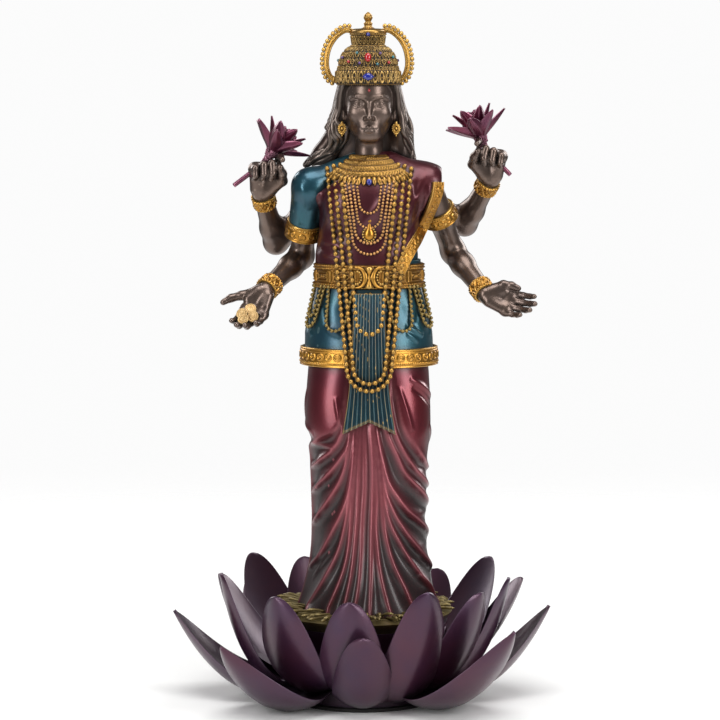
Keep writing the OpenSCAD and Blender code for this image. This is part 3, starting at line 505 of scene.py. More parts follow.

# ---- Skirt ------------------------------------------------------------------------------------
# The wrapped skirt is one casting. The cloth is drawn tight over both thighs, gathered under the
# front sash, and falls from there in pleats that fan out to the hem and swing round the sides.
# Burgundy pearl paint, with painted shade that darkens it to near-black towards the hem and in the fold
# valleys, and pink on the crests that is partly rubbed-on paint and partly painted highlight.

# height, middle, half width and half depth of the skirt
skirt_sizes = np.array([
    (36.3, 2.6, 29.0, 24.0), (40, 2.6, 28.4, 23.4), (46, 3.0, 27.2, 22.4), (53, 3.2, 25.6, 21.0),
    (62, 3.2, 24.4, 19.6), (72, 3.0, 23.9, 18.8), (85, 3.0, 24.2, 18.4), (98, 3.0, 24.6, 18.6),
    (110, 2.3, 25.2, 18.8), (122, 2.2, 24.8, 18.0), (134, 2.2, 24.0, 17.4), (146, 2.2, 23.0, 16.4),
])
# ridges of the folds, right to left of the figure: bearing from the front and height along each
left_out = [
    [(-22, 134), (-25, 119), (-30, 112), (-50, 107), (-85, 103), (-124, 104)],
    [(-20, 128), (-24, 112), (-32, 105), (-55, 98.5), (-88, 94), (-123, 92)],
    [(-17, 122), (-20, 106), (-32, 98), (-47, 92), (-75, 86), (-122, 80)],
    [(-15, 120), (-19, 107), (-28, 93), (-44, 83), (-70, 75), (-121, 66)],
    [(-12, 118), (-17, 100), (-26, 81), (-42, 69), (-60, 60), (-85, 54), (-120, 46)],
    [(-10.5, 118), (-16, 99), (-23, 79), (-33, 63), (-48, 50), (-62, 40)],
    [(-9, 118), (-15, 98), (-19, 78), (-24, 60), (-36, 40)],
    [(-6, 118), (-10.5, 99), (-13, 78), (-17, 60), (-22, 40)],
    [(-3, 118), (-5.5, 100), (-6, 87), (-8, 74), (-11, 47), (-13, 38)],
]
right_out = [
    [(0, 118), (1.5, 105), (2, 85), (0.5, 65), (0, 40)],
    [(2.5, 118), (4.5, 98), (5.5, 84), (5, 70), (9.5, 51), (17, 38)],
    [(4, 118), (8, 98), (10, 88), (13, 73), (20, 59), (32, 47), (40, 38)],
    [(4.5, 118), (9, 97), (12, 86), (18, 75), (30, 65), (45, 56), (64, 47), (80, 40)],
    [(5, 118), (10, 97), (15, 86), (23, 78), (38, 69), (58, 61), (80, 55.5), (118, 50)],
    [(6, 118), (8, 109), (12, 99), (17, 90), (28, 83), (44, 76.5), (68, 71.5), (90, 68), (120, 63)],
    [(14, 118), (18, 108), (25, 101), (34, 94), (58, 86), (82, 81), (121, 76)],
    [(20, 122), (24, 111), (28, 106), (40, 98), (66, 90), (90, 86.5), (122, 84)],
    [(24, 134), (27, 124), (34, 111), (52, 101), (78, 95), (123, 92)],
]
back_out = [[(b + 3, 134), (b - 2, 100), (b + 1, 70), (b, 38)] for b in (130, 142, 155, 167)]


def ridge_bearings(ridges, heights):
    """Bearing of each ridge at each height: straight up and down beyond its ends, and kept in order."""
    rows = []
    for ridge in ridges:
        curve = smooth_curve(ridge, 60)
        order = np.argsort(curve[:, 1])
        rows.append(np.interp(heights, curve[order, 1], curve[order, 0]))
    return np.maximum.accumulate(np.stack(rows, 1), axis=1)


def blurred(field, times):
    """The field averaged with its neighbours (1 2 1 both ways), round the loop in its second direction."""
    for _ in range(times):
        field = (np.roll(field, 1, 1) + 2 * field + np.roll(field, -1, 1)) / 4
        padded = np.concatenate([field[:1], field, field[-1:]])
        field = (padded[:-2] + 2 * padded[1:-1] + padded[2:]) / 4
    return field


def hung_folds(bearings, heights, ridges, half_w, half_d, steep=0.36, deepest=2.1):
    """Fold depth between ridge lines. Between two ridges the cloth sags by depth * sin(pi w)^0.8, where w is
    the share of the way across, and depth is steep times the gap measured square to the folds, up to deepest.
    Returns the offset (0 on a ridge), the hollow mask, which paints shade into the fold valleys, and the crest
    mask, which paints highlight along the ridges."""
    lines = ridge_bearings(ridges, heights)
    lines = np.concatenate([lines[:, -1:] - 360, lines, lines[:, :1] + 360], 1)
    index = (bearings[None, :, None] >= lines[:, None, :]).sum(-1)
    index = np.clip(index, 1, lines.shape[1] - 1)
    low = np.take_along_axis(lines, index - 1, 1)
    high = np.take_along_axis(lines, index, 1)
    slope = np.gradient(lines, heights, axis=0)
    slope = (np.take_along_axis(slope, index - 1, 1) + np.take_along_axis(slope, index, 1)) / 2
    a = np.radians(bearings)[None, :]
    reach = np.sqrt((half_w[:, None] * np.cos(a)) ** 2 + (half_d[:, None] * np.sin(a)) ** 2)
    gap = np.radians(high - low) * reach
    square = gap / np.sqrt(1 + (np.radians(slope) * reach) ** 2)
    across = np.clip((bearings[None, :] - low) / np.maximum(high - low, 1e-6), 0, 1)
    wide = np.clip((34 - gap) / 12, 0, 1)
    depth = np.minimum(steep * square, deepest) * wide
    sag = np.sin(np.pi * across)
    near = np.minimum(across, 1 - across) * square
    crest = bell(near, 0.7) * np.clip(square / 1.2, 0, 1) * wide
    return -depth * sag ** 0.8, depth / deepest * sag, crest


def evened(row, reach):
    """The row averaged with that many neighbours on each side, weighted by a raised cosine."""
    kernel = np.hanning(2 * reach + 1)
    return np.convolve(np.pad(row, reach, mode="edge"), kernel / kernel.sum(), "valid")


heights = np.linspace(skirt_sizes[0, 0], skirt_sizes[-1, 0], 236)
bearings = np.linspace(-180, 180, 376, endpoint=False)
middle, half_w, half_d = (
    evened(np.interp(heights, skirt_sizes[:, 0], column), 12) for column in skirt_sizes.T[1:]
)
back_left = [[(-a, z) for a, z in ridge] for ridge in back_out[::-1]]
ridges = back_left + left_out + right_out + back_out
offset, hollow, crest = hung_folds(bearings, heights, ridges, half_w, half_d)
offset = blurred(offset, 3)
a = np.radians(bearings)[None, :]
z = heights[:, None]
top_of_folds = np.clip((132 - z) / 10, 0, 1)


def mound(u, v, at_u, at_v, wide, tall, lift):
    """A rounded swelling of the cloth at (at_u, at_v): lift * exp of minus both squared shares."""
    return lift * np.exp(-((u - at_u) / wide) ** 2 - ((v - at_v) / tall) ** 2)


def crease(u, v, start, end, width, lift):
    """A straight small fold between two (u, v) ends in mm: a bell curve across it, faded at its ends."""
    start, end = np.array(start, float), np.array(end, float)
    way = end - start
    du, dv = u - start[0], v - start[1]
    share = (du * way[0] + dv * way[1]) / (way @ way)
    aside = np.abs(du * way[1] - dv * way[0]) / np.linalg.norm(way)
    return lift * bell(aside, width) * np.clip(np.sin(np.pi * np.clip(share, 0, 1)), 0, 1) ** 0.5


def folded(field, u, v, folds, bend=crease):
    """The field with each fold of a list added; a fold is its two ends, its width and its lift."""
    for fold in folds:
        field = field + bend(u, v, *fold)
    return field


offset = offset * (0.35 + 0.65 * top_of_folds)
for swelling in ((-54, 120, 26, 17, 1.5), (50, 116, 24, 22, 1.5), (-8, 124, 12, 16, -2.2),
                 (-50, 103, 16, 3.0, -0.9), (64, 94, 22, 3.0, -0.8)):
    offset += mound(bearings[None, :], z, *swelling)
mm_per_degree = 0.42
offset = folded(offset, bearings[None, :] * mm_per_degree, z, (
    ((17, 131), (35, 122), 1.1, 0.9), ((18, 127), (33, 118), 1.0, -0.7), ((12, 128), (17, 110), 1.0, 0.6),
    ((-13, 124), (-10, 108), 1.0, 0.6), ((-32, 126), (-39, 112), 1.6, 0.6), ((29, 112), (40, 104), 1.6, 0.6),
    ((-25, 108), (-37, 113), 1.4, 0.7), ((-18, 62), (-31, 49), 1.0, 0.6), ((21, 52), (32, 44), 1.0, 0.6),
))
hem_flare = 1.4 * np.clip((44 - z) / 8, 0, 1) ** 2 * (0.4 + 0.6 * crest)
reach = offset + hem_flare
points, quads = solid(xyz(middle[:, None] + (half_w[:, None] + reach) * np.sin(a),
                          -(half_d[:, None] + reach) * np.cos(a), z))
ends = [0, 0]
# Painted shade: the fold valleys and the lower skirt are darkened, less on the crests. Painted highlight: the
# crests are lightened, less towards the hem, partly as dry-brushed paint.
painted_hem_shade = np.clip((92 - z) / 60, 0, 1) ** 1.3 * 0.72
skirt = new_piece("pleated_skirt", points, quads, {
    "hollow": np.append(np.clip(blurred(hollow, 2) * 0.95 + painted_hem_shade * (1 - 0.6 * crest), 0, 1), ends),
    "crest": np.append(blurred(crest, 1) * np.clip(0.25 + 0.75 * (z - 36) / 50, 0.35, 1) * top_of_folds, ends),
})
burgundy = paint("burgundy_pearl", (108, 30, 40), (76, 30, 46), (22, 10, 11), (186, 104, 112), 0.75, 0.3, 0.5,
                 patch=36.0, second_amount=0.5, wash_amount=0.94, brushed_amount=0.43, reach=0.004,
                 grain_height=0.00002)
finish_piece(skirt, burgundy, "skirt_paint", "skirt")

# ---- Tunic, hem band and sash -----------------------------------------------------------------
# A hip-length tunic of the same casting, in teal pearl. Its hem carries a stamped gold band, and a
# pleated sash hangs in front of it, cut to a swallow tail, with gold drawn along the pleats.

axis_x, base_z, tall = 2.4, 36.0, 239.0
# share of the figure's height, half width and half depth of the body
body_outline = np.array([
    (0.405, 24.0, 17.1), (0.47, 23.5, 16.7), (0.52, 21.2, 15.5), (0.56, 19.5, 14.0), (0.6, 19.5, 14.0),
    (0.64, 18.0, 13.5), (0.69, 18.0, 14.0), (0.725, 16.6, 12.2), (0.745, 12.2, 9.7), (0.76, 7.2, 7.2),
])


def fz(share):
    """Height above the floor of a share of the figure's height."""
    return base_z + share * tall


hem_z, waist_z = fz(0.417), fz(0.545)


def body_half(z):
    """Half width and half depth of the body at that height, read off its outline."""
    share = (np.asarray(z, float) - base_z) / tall
    return tuple(np.interp(share, body_outline[:, 0], body_outline[:, k]) for k in (1, 2))


def round_body(bearing, z, grow):
    """Points round the figure's axis at bearings from the front (degrees) and heights, grown outwards."""
    w, d = body_half(z)
    a = np.radians(bearing)
    return xyz(axis_x + (w + grow) * np.sin(a), -(d + grow) * np.cos(a), z)


def slab(outer, inner, loop=False):
    """Closed sheet between two grids of points, its four edges sewn up (two if its columns loop)."""
    rows, cols = outer.shape[:2]
    count = rows * cols
    face = grid_faces(rows, cols, loop_cols=loop)
    index = np.arange(count).reshape(rows, cols)
    c = np.arange(cols if loop else cols - 1)
    after = (c + 1) % cols
    r = np.arange(rows - 1)

    def hemmed(first, second, turn):
        """Quads from an edge of the outer grid to the same edge of the inner one."""
        return np.stack([first, second, second + count, first + count], 1)[:, ::turn]
    sewn = [hemmed(index[row, after], index[row, c], turn) for row, turn in ((0, 1), (rows - 1, -1))]
    if not loop:
        sewn += [hemmed(index[r, col], index[r + 1, col], turn) for col, turn in ((0, 1), (cols - 1, -1))]
    points = np.concatenate([outer.reshape(-1, 3), inner.reshape(-1, 3)])
    quads = np.concatenate([face, face[:, ::-1] + count] + sewn)
    return points, outward(points, quads)


heights = np.linspace(hem_z, waist_z + 11, 110)
bearings = np.linspace(-180, 180, 400, endpoint=False)[None, :]
z = heights[:, None]
flare = 1.95 + 0.7 * np.clip((fz(0.448) - z) / 8, 0, 1)
puff = 0.35 * np.sin(np.radians(bearings * 7 + 40)) * np.clip((z - 140) / 18, 0, 1)
puff = puff + 0.22 * np.sin(np.radians(bearings * 13 + 6 * z)) * np.clip((z - 146) / 12, 0, 1)
puff = folded(puff, bearings * mm_per_degree, z, (
    ((15, 152), (24, 147.5), 0.9, 0.8), ((17, 155), (23, 148), 0.8, -0.5), ((15, 149), (21, 145), 0.8, 0.6),
    ((-19, 152), (-11, 148), 1.1, 0.6), ((-24, 163), (-17, 150), 1.2, -0.6), ((26, 163), (20, 152), 1.2, -0.6),
    ((-34, 160), (-27, 147), 1.4, 0.7), ((36, 161), (30, 147), 1.4, 0.7), ((-60, 164), (-50, 146), 1.8, 0.7),
    ((60, 164), (52, 146), 1.8, 0.7), ((0, 166), (2, 148), 2.0, 0.4),
))
tight = np.clip((waist_z + 2 - z) / 9, 0, 1)
cloth = round_body(bearings, z, flare * (0.55 + 0.45 * tight) + puff * tight)
tunic = new_piece("hip_tunic", *slab(cloth, round_body(bearings, z, 0.3), loop=True))
teal = paint("teal_pearl", (34, 88, 98), (30, 60, 84), (8, 15, 18), (132, 168, 172), 0.7, 0.3, 0.45,
             patch=45.0, second_amount=0.7, wash_amount=0.85, brushed_amount=0.35, reach=0.004)
finish_piece(tunic, teal, "teal_paint", "tunic")


def stamped(along, across, half, pitch=3.9, ring=1.15):
    """Relief of a stamped border, in mm: a row of small rings with a dot in each, a line of fine beading
    below them, and plain raised lines along both edges."""
    near = (along + pitch / 2) % pitch - pitch / 2
    away = np.hypot(near, across - half * 0.12)
    rings = bell(away - ring, 0.26) + 0.7 * bell(away, 0.38)
    share = across / half
    lines = bell(np.abs(share) - 0.93, 0.09) * 1.3 + 0.6 * bell(share - 0.66, 0.06)
    beading = bell(share + 0.6, 0.1) * (0.5 + 0.5 * np.cos(2 * np.pi * along / 0.9))
    return 0.34 * (rings + lines + beading)


half = 3.7
rows, cols = 36, 760
across = np.linspace(-half, half, rows)[:, None]
bearings = np.linspace(-180, 180, cols, endpoint=False)[None, :]
z = hem_z - 0.3 + half + across
hem_radius = 24.8
raised = 0.9 * (1 - (across / half) ** 4) ** 0.5 + stamped(bearings * np.pi / 180 * hem_radius, across, half)
band = slab(round_body(bearings, z, 2.9 + raised), round_body(bearings, z, 2.4), True)
gold = paint("antique_gold", (186, 134, 50), (158, 104, 40), (34, 22, 11), (250, 216, 130), 0.95, 0.3, 0.2,
             patch=90.0, second_amount=0.5, wash_amount=0.95, brushed_amount=0.45, reach=0.0014)
finish_piece(new_piece("tunic_border", *band), gold, "antique_gold", "tunic_hem_band")

rows, cols = 150, 150
u = np.linspace(-1, 1, cols)[None, :]
v = np.linspace(0, 1, rows)[:, None]
tail = 109.2 + 5.0 * (1 - np.abs(u)) ** 0.9
z = fz(0.539) + (tail - fz(0.539)) * v
half = np.interp(z, [109, 120, 135, 150, 166], [9.9, 8.6, 7.2, 6.4, 6.0])
w, d = body_half(np.maximum(z, hem_z))
fold_at = 5.5 * u + 0.25 * np.sin(3 * v)
pleat = np.abs(((fold_at + 0.25) % 1.0) - 0.5) * 2
x = axis_x + u * half + 0.6 * np.clip((125 - z) / 16, 0, 1) * u
over_hem = 3.95 + 1.2 - 1.0 * np.clip((hem_z - z) / 14, 0, 1) - 1.2 * np.clip((z - 150) / 14, 0, 1)
y = -(d + over_hem) * np.sqrt(1 - np.clip((x - axis_x) / (w + 4.5), -0.9, 0.9) ** 2)
deep = np.interp(z, [109, 130, 166], [0.9, 0.7, 0.45])
sway = 0.5 * np.sin(2.6 * v + 1.5 * u) * v
face = xyz(x, y + deep * pleat ** 1.4 + sway, z)
points, quads = slab(face, face + np.array([0, 1.5, 0]))
ridge = np.clip(1 - pleat / 0.16, 0, 1) * (np.round(fold_at) % 2 == 0)
hem_line = bell(v - 0.985, 0.008)
side_line = np.clip((np.abs(u) - 0.965) / 0.02, 0, 1)
gold_line = np.maximum(np.maximum(ridge, 0.6 * hem_line), 0.8 * side_line)
# Painted shade: the hollow mask darkens each pleat towards its valley. The crest mask is the gold drawn along
# the pleats.
sash = new_piece("pleated_sash", points, quads, {
    "hollow": np.concatenate([(0.75 * pleat ** 2 + 0 * v).ravel(), np.zeros(rows * cols)]),
    "crest": np.concatenate([(0.9 * gold_line + 0 * v).ravel(), np.zeros(rows * cols)]),
})
sash_teal = paint("sash_teal", (34, 84, 94), (26, 54, 76), (10, 18, 28), (196, 160, 92), 0.68, 0.32, 0.4,
                  patch=45.0, wash_amount=0.9, brushed_amount=0.85, reach=0.002)
finish_piece(sash, sash_teal, "teal_paint", "front_sash")

# ---- Bodice, stole and its border -------------------------------------------------------------
# The upper body is one casting: a short-sleeved teal bodice, and over it a maroon stole that passes
# under the right arm, crosses the chest and hangs over the left shoulder. The stole's free edge has
# a stamped gold border. Each is modelled as a soft solid, as a sculptor builds up wax.


def wax(low, high, step):
    """The points of a box-shaped grid (x, y, z in mm), on which a solid's distance field is worked out."""
    axes = [np.arange(a, b + step, step, dtype=np.float32) for a, b in zip(low, high)]
    return np.stack(np.meshgrid(*axes, indexing="ij"), -1)


def rod(p, a, b, ra, rb):
    """Distance to a round-ended rod whose radius goes evenly from ra at a to rb at b."""
    a, b = np.array(a, np.float32), np.array(b, np.float32)
    way = b - a
    share = np.clip((p - a) @ way / (way @ way), 0, 1)
    return np.linalg.norm(p - a - share[..., None] * way, axis=-1) - (ra + (rb - ra) * share)


def ball(p, centre, radii):
    """Distance to an ellipsoid: (k - 1) times its smallest radius, k being how many radii away a point is."""
    radii = np.broadcast_to(np.array(radii, np.float32), (3,))
    return (np.linalg.norm((p - np.array(centre, np.float32)) / radii, axis=-1) - 1) * radii.min()


def melt(a, b, soft):
    """Smooth minimum: two fields run together over the given width, as warm wax does."""
    h = np.clip(0.5 + 0.5 * (b - a) / soft, 0, 1)
    return b + (a - b) * h - soft * h * (1 - h)


def cast(field, low, step):
    """Surface where a field is zero: one point in each grid cell that the surface crosses, at the mean of
    the crossings of the cell's edges, and one quad round each crossed edge."""
    size = np.array(field.shape) - 1
    total = np.zeros((*size, 3), np.float32)
    hits = np.zeros(size, np.float32)
    edges = []
    for axis in range(3):
        others = [k for k in range(3) if k != axis]
        layers = np.moveaxis(field, axis, 0)
        first, second = layers[:-1], layers[1:]
        crossed = (first < 0) != (second < 0)
        share = np.where(crossed, first / np.where(crossed, first - second, 1), 0)
        edges.append((axis, crossed, first))
        for i in (0, 1):
            for j in (0, 1):
                part = (slice(None), slice(i, crossed.shape[1] - 1 + i), slice(j, crossed.shape[2] - 1 + j))
                met = np.moveaxis(crossed[part], 0, axis)
                hits += met
                total[..., axis] += np.moveaxis(share[part], 0, axis)
                total[..., others[0]] += met * i
                total[..., others[1]] += met * j
    live = hits > 0
    number = np.full(size, -1)
    number[live] = np.arange(live.sum())
    points = (np.argwhere(live) + total[live] / hits[live][:, None]) * step + np.array(low)
    quads = []
    for axis, crossed, first in edges:
        n = np.moveaxis(number, axis, 0)
        inner = crossed[:, 1:-1, 1:-1]
        round_edge = np.stack([n[:, :-1, :-1], n[:, 1:, :-1], n[:, 1:, 1:], n[:, :-1, 1:]], -1)[inner]
        ahead = (first[:, 1:-1, 1:-1][inner] < 0) ^ (axis == 1)
        quads.append(np.where(ahead[:, None], round_edge, round_edge[:, ::-1]))
    return points, np.concatenate(quads)


def body_wax(p):
    """The clothed upper body: an oval column, gentle breasts, and shoulders that slope up to the neck."""
    w, d = body_half(p[..., 2])
    share = np.sqrt(((p[..., 0] - axis_x) / w) ** 2 + (p[..., 1] / d) ** 2)
    field = ((share - 1) * np.minimum(w, d)).astype(np.float32)
    field = np.maximum(field, p[..., 2] - 216)
    for side, shoulder in ((-1, (-20.3, -0.5, 206.6)), (1, (25.0, -0.5, 206.6))):
        field = melt(field, ball(p, (axis_x + side * 8.0, -9.8, 199.5), (7.2, 6.0, 7.4)), 5)
        slope = rod(p, (axis_x + side * 5, 1.5, 216.5), shoulder, 3.4, 6.3)
        field = melt(field, slope, 4)
    return field


def pinch(p, a, b, width, lift):
    """A fold seen from the front between two (x, z) ends: a bell curve across, fading at its ends, and only
    on the front. Taken off a distance field it stands proud; a negative lift sinks it."""
    return np.where(p[..., 1] < 3, crease(p[..., 0], p[..., 2], a, b, width, lift), 0)


chest_low, chest_step = (-32, -24, 174), 0.55
p = wax(chest_low, (37, 20, 220), chest_step)
trunk = body_wax(p)
bodice_field = np.maximum(np.maximum(trunk, 176.5 - p[..., 2]), p[..., 0] - 24)
bodice = new_piece("short_bodice", *cast(bodice_field, chest_low, chest_step))
finish_piece(bodice, teal, "teal_paint", "bodice")

left_shoulder = np.array([25.2, -0.6, 206.4])
left_way = np.array([0.3506, 0.5008, -0.7913])
# x and height along the stole's free edge
border_line = np.array([(15.6, 173.0), (19.2, 180.0), (23.8, 187.5), (28.3, 197.0), (30.9, 205.0),
                        (31.2, 210.0)])
drape = rod(p, left_shoulder, left_shoulder + 26 * left_way, 6.4, 5.6)
cover = melt(trunk, drape, 7) - 1.35
for fold in (
    ((25, 213), (12, 176), 1.6, 0.7), ((28, 207), (16, 180), 1.1, 0.6), ((22, 214), (4, 178), 1.8, 0.5),
    ((18, 215), (-6, 184), 1.6, 0.5), ((-17, 186), (-6, 181), 1.5, 1.0), ((-17, 181), (-7, 178), 1.2, 0.9),
    ((-15, 183.5), (-5, 180), 0.9, -0.8), ((27, 203), (21, 190), 0.9, -0.7), ((26, 208), (24, 196), 0.8, 0.5),
    ((14, 190), (10, 178), 1.2, 0.5),
):
    cover = cover - pinch(p, *fold)
behind = np.where(p[..., 1] > 3, 0.5 * np.sin(p[..., 0] * 0.9 + p[..., 2] * 0.62), 0)
cover = cover - behind * np.clip((p[..., 1] - 3) / 5, 0, 1)
over_chest = -0.565 * p[..., 0] + 0.825 * (p[..., 2] - 216.0)
free_edge = p[..., 0] - np.interp(p[..., 2], border_line[:, 1], border_line[:, 0])
stole_field = np.maximum(np.maximum(cover, over_chest), np.maximum(free_edge * 0.85, 175.2 - p[..., 2]))
stole = new_piece("draped_stole", *cast(stole_field.astype(np.float32), chest_low, chest_step))
maroon = paint("maroon_pearl", (84, 27, 34), (64, 28, 42), (18, 8, 9), (160, 96, 100), 0.66, 0.32, 0.4,
               patch=50.0, second_amount=0.6, wash_amount=0.9, brushed_amount=0.3, reach=0.005)
finish_piece(stole, maroon, "stole_paint", "shoulder_stole")


open_front = -23.0


def drop_on(field, x, z):
    """y of the first surface met from the front at each (x, z): a field on the chest's grid is read along a
    line of y values, and the first place inside it is taken; open_front where there is none."""
    ys = np.arange(open_front, 6, 0.15)
    low, step = chest_low, chest_step
    i, j, k = (x - low[0]) / step, (ys - low[1]) / step, (z - low[2]) / step
    i0, j0, k0 = (np.clip(np.floor(v).astype(int), 0, n - 2) for v, n in zip((i, j, k), field.shape))
    right, up = (i - i0)[:, None], (k - k0)[:, None]
    lines = ((1 - right) * (1 - up) * field[i0, :, k0] + right * (1 - up) * field[i0 + 1, :, k0]
             + (1 - right) * up * field[i0, :, k0 + 1] + right * up * field[i0 + 1, :, k0 + 1])
    along = lines[:, j0] * (1 - (j - j0)) + lines[:, j0 + 1] * (j - j0)
    return ys[np.argmax(along < 0, axis=1)]


def strap(path, normal, half, thick, relief_of, rows=26):
    """A flat strip along a path, as wide as half says each way, with the given outward normals: its face is
    lifted by a relief of (mm along, mm across), its edges are rounded off."""
    along = lengths(path)
    heading = unit(np.gradient(path, axis=0))
    normal = unit(normal - (normal * heading).sum(1)[:, None] * heading)
    side = np.cross(heading, normal)
    across = np.linspace(-half, half, rows)[:, None]
    lift = thick * (1 - (across / half) ** 6) ** 0.5 + relief_of(along[None, :], across)
    flat = path[None] + across[..., None] * side[None]
    return slab(flat + lift[..., None] * normal[None], flat - 0.6 * normal[None])


line = smooth_curve(border_line, 220)
line_x, line_z = line[line[:, 1] < 208.5].T
line_y = evened(drop_on(np.maximum(cover, over_chest).astype(np.float32), line_x - 1.8, line_z), 15)
path = xyz(line_x - 1.5, line_y - 0.3, line_z)
facing = xyz(np.interp(line_z, [175, 208], [0.35, 0.75]), -1, 0)
border_half = 2.5
border = strap(path, facing, border_half, 0.7, lambda a, b: stamped(a, b, border_half, 2.9, 0.85))
finish_piece(new_piece("stole_gold_border", *border), gold, "antique_gold", "stole_border")

# ---- Sleeve and arm cuffs ---------------------------------------------------------------------
# The bodice's right sleeve ends above the elbow in a broad stamped gold cuff. The left sleeve is under
# the stole, and only its cuff shows. All are cast with the body.

right_shoulder = np.array([-20.9, -0.8, 206.2])
right_way = np.array([-0.135, 0.42, -0.897])
low, step = (-36, -14, 184), 0.5
p = wax(low, (-8, 16, 218), step)
sleeve_field = melt(rod(p, right_shoulder, right_shoulder + 17 * right_way, 7.3, 6.5),
                    rod(p, (axis_x - 9, 1.5, 212.6), right_shoulder, 5.0, 6.6), 3)
for fold in (
    ((-15, 198), (-16, 190), 0.9, 0.8), ((-17.5, 199), (-19, 191), 0.8, -0.6),
    ((-25, 208), (-21, 197), 1.6, 0.5), ((-27, 200), (-25, 191), 1.2, 0.4), ((-14, 205), (-15, 197), 1.2, 0.7),
):
    sleeve_field = sleeve_field - pinch(p, *fold)
end = (p - (right_shoulder + 16.5 * right_way)) @ right_way
sleeve_field = np.maximum(np.maximum(sleeve_field, end), p[..., 0] + 10.5)
sleeve = new_piece("short_sleeve", *cast(sleeve_field.astype(np.float32), low, step))
finish_piece(sleeve, teal, "teal_paint", "right_sleeve")


def limb_ring(middle, way, half, cols, inner, relief_of):
    """A looped sheet round a limb, half wide each way from its middle along the limb. relief_of gives its
    outer radius from (turn in radians, mm across)."""
    way = unit(way)
    side = unit(np.cross(way, [0.1, 1, 0.35]))
    up = np.cross(way, side)
    across = np.linspace(-half, half, 30)[:, None]
    a = circle(cols)[None, :]

    def ring_at(r):
        """Points round the limb at radius r."""
        return (middle + across[..., None] * way + (r * np.cos(a))[..., None] * side
                + (r * np.sin(a))[..., None] * up)
    return slab(ring_at(relief_of(a, across)), ring_at(inner), loop=True)


def plain_and_rounded(radius, rise, across, half):
    """Outer radius of a ring that is rounded off towards its two edges."""
    return radius + rise * (1 - (across / half) ** 6) ** 0.5


def arm_cuff(name, node, shoulder, way, start, length, radius, flare, pitch, ring):
    """A stamped cuff round an arm, from start mm below the shoulder, flaring out a little."""
    half = length / 2
    around = np.round(2 * np.pi * radius / pitch) * pitch

    def outer(a, across):
        """Outer radius of the cuff at a turn and a place across it."""
        lift = stamped(a / (2 * np.pi) * around, across, half, pitch, ring)
        return plain_and_rounded(radius, 0.5, across, half) + flare * (across / length + 0.5) + lift
    cuff = limb_ring(shoulder + (start + half) * way, way, half, 200, radius - 1.2, outer)
    finish_piece(new_piece(name, *cuff), gold, "antique_gold", node)


arm_cuff("sleeve_gold_cuff", "right_cuff", right_shoulder, right_way, 15.8, 6.6, 6.5, 0.5, 3.3, 0.95)
arm_cuff("hidden_sleeve_cuff", "left_cuff", left_shoulder, left_way, 11.8, 5.6, 6.3, 0.4, 3.1, 0.85)

# ---- Arms, hands and bangles ------------------------------------------------------------------
# Four bare arms, cast with the body and finished as dark bronze. The front pair is lowered, one hand
# spilling coins and one open; the rear pair is raised, each hand closed round a lotus stem. A heavy
# pierced gold bangle covers each wrist.

skin = paint("dark_bronze", (112, 94, 84), (96, 84, 80), (18, 14, 13), (196, 178, 164), 0.85, 0.31, 0.2,
             patch=80.0, second_amount=0.6, wash_amount=0.9, brushed_amount=0.3, reach=0.0028)

shoulders = np.array([(-21.4, -0.9, 206.2), (26.0, -0.9, 206.2), (-13.0, 12.0, 204.6), (17.8, 12.0, 204.6)])
elbows = np.array([(-24.81, 16.5, 177.19), (36.51, 16.72, 179.09), (-35.41, 24.9, 182.53),
                   (41.63, 31.07, 189.62)])
wrists = np.array([(-38.83, -4.52, 165.14), (48.84, -2.9, 163.39), (-40.18, 6.11, 202.73),
                   (50.9, 12.24, 208.16)])
finger_ways = np.array([(-0.42, -0.42, -0.80), (0.93, -0.2, -0.32), (0.1, -0.3, 0.95), (0.05, -0.3, 0.95)])
palm_ways = np.array([(-0.15, -0.8, 0.58), (0.05, -0.93, 0.35), (0.25, -0.95, -0.2), (-0.25, -0.95, -0.2)])
hand_sizes = (1.04, 1.0, 1.12, 1.1)


def arm_wax(p, shoulder, elbow, wrist):
    """An arm: upper arm, elbow and forearm as rods that melt together, fullest below the shoulder and below
    the elbow."""
    s, e, w = shoulder, elbow, wrist
    field = rod(p, s, s + 0.45 * (e - s), 5.4, 5.3)
    field = melt(field, rod(p, s + 0.45 * (e - s), e, 5.1, 4.4), 3)
    field = melt(field, rod(p, e, e + 0.3 * (w - e), 4.4, 4.5), 4)
    return melt(field, rod(p, e + 0.3 * (w - e), w, 4.5, 3.5), 3)


# place across the hand, length and radius of each finger, first finger first
finger_sizes = ((4.3, 10.4, 1.42), (1.45, 11.6, 1.5), (-1.45, 10.9, 1.45), (-4.3, 8.6, 1.3))


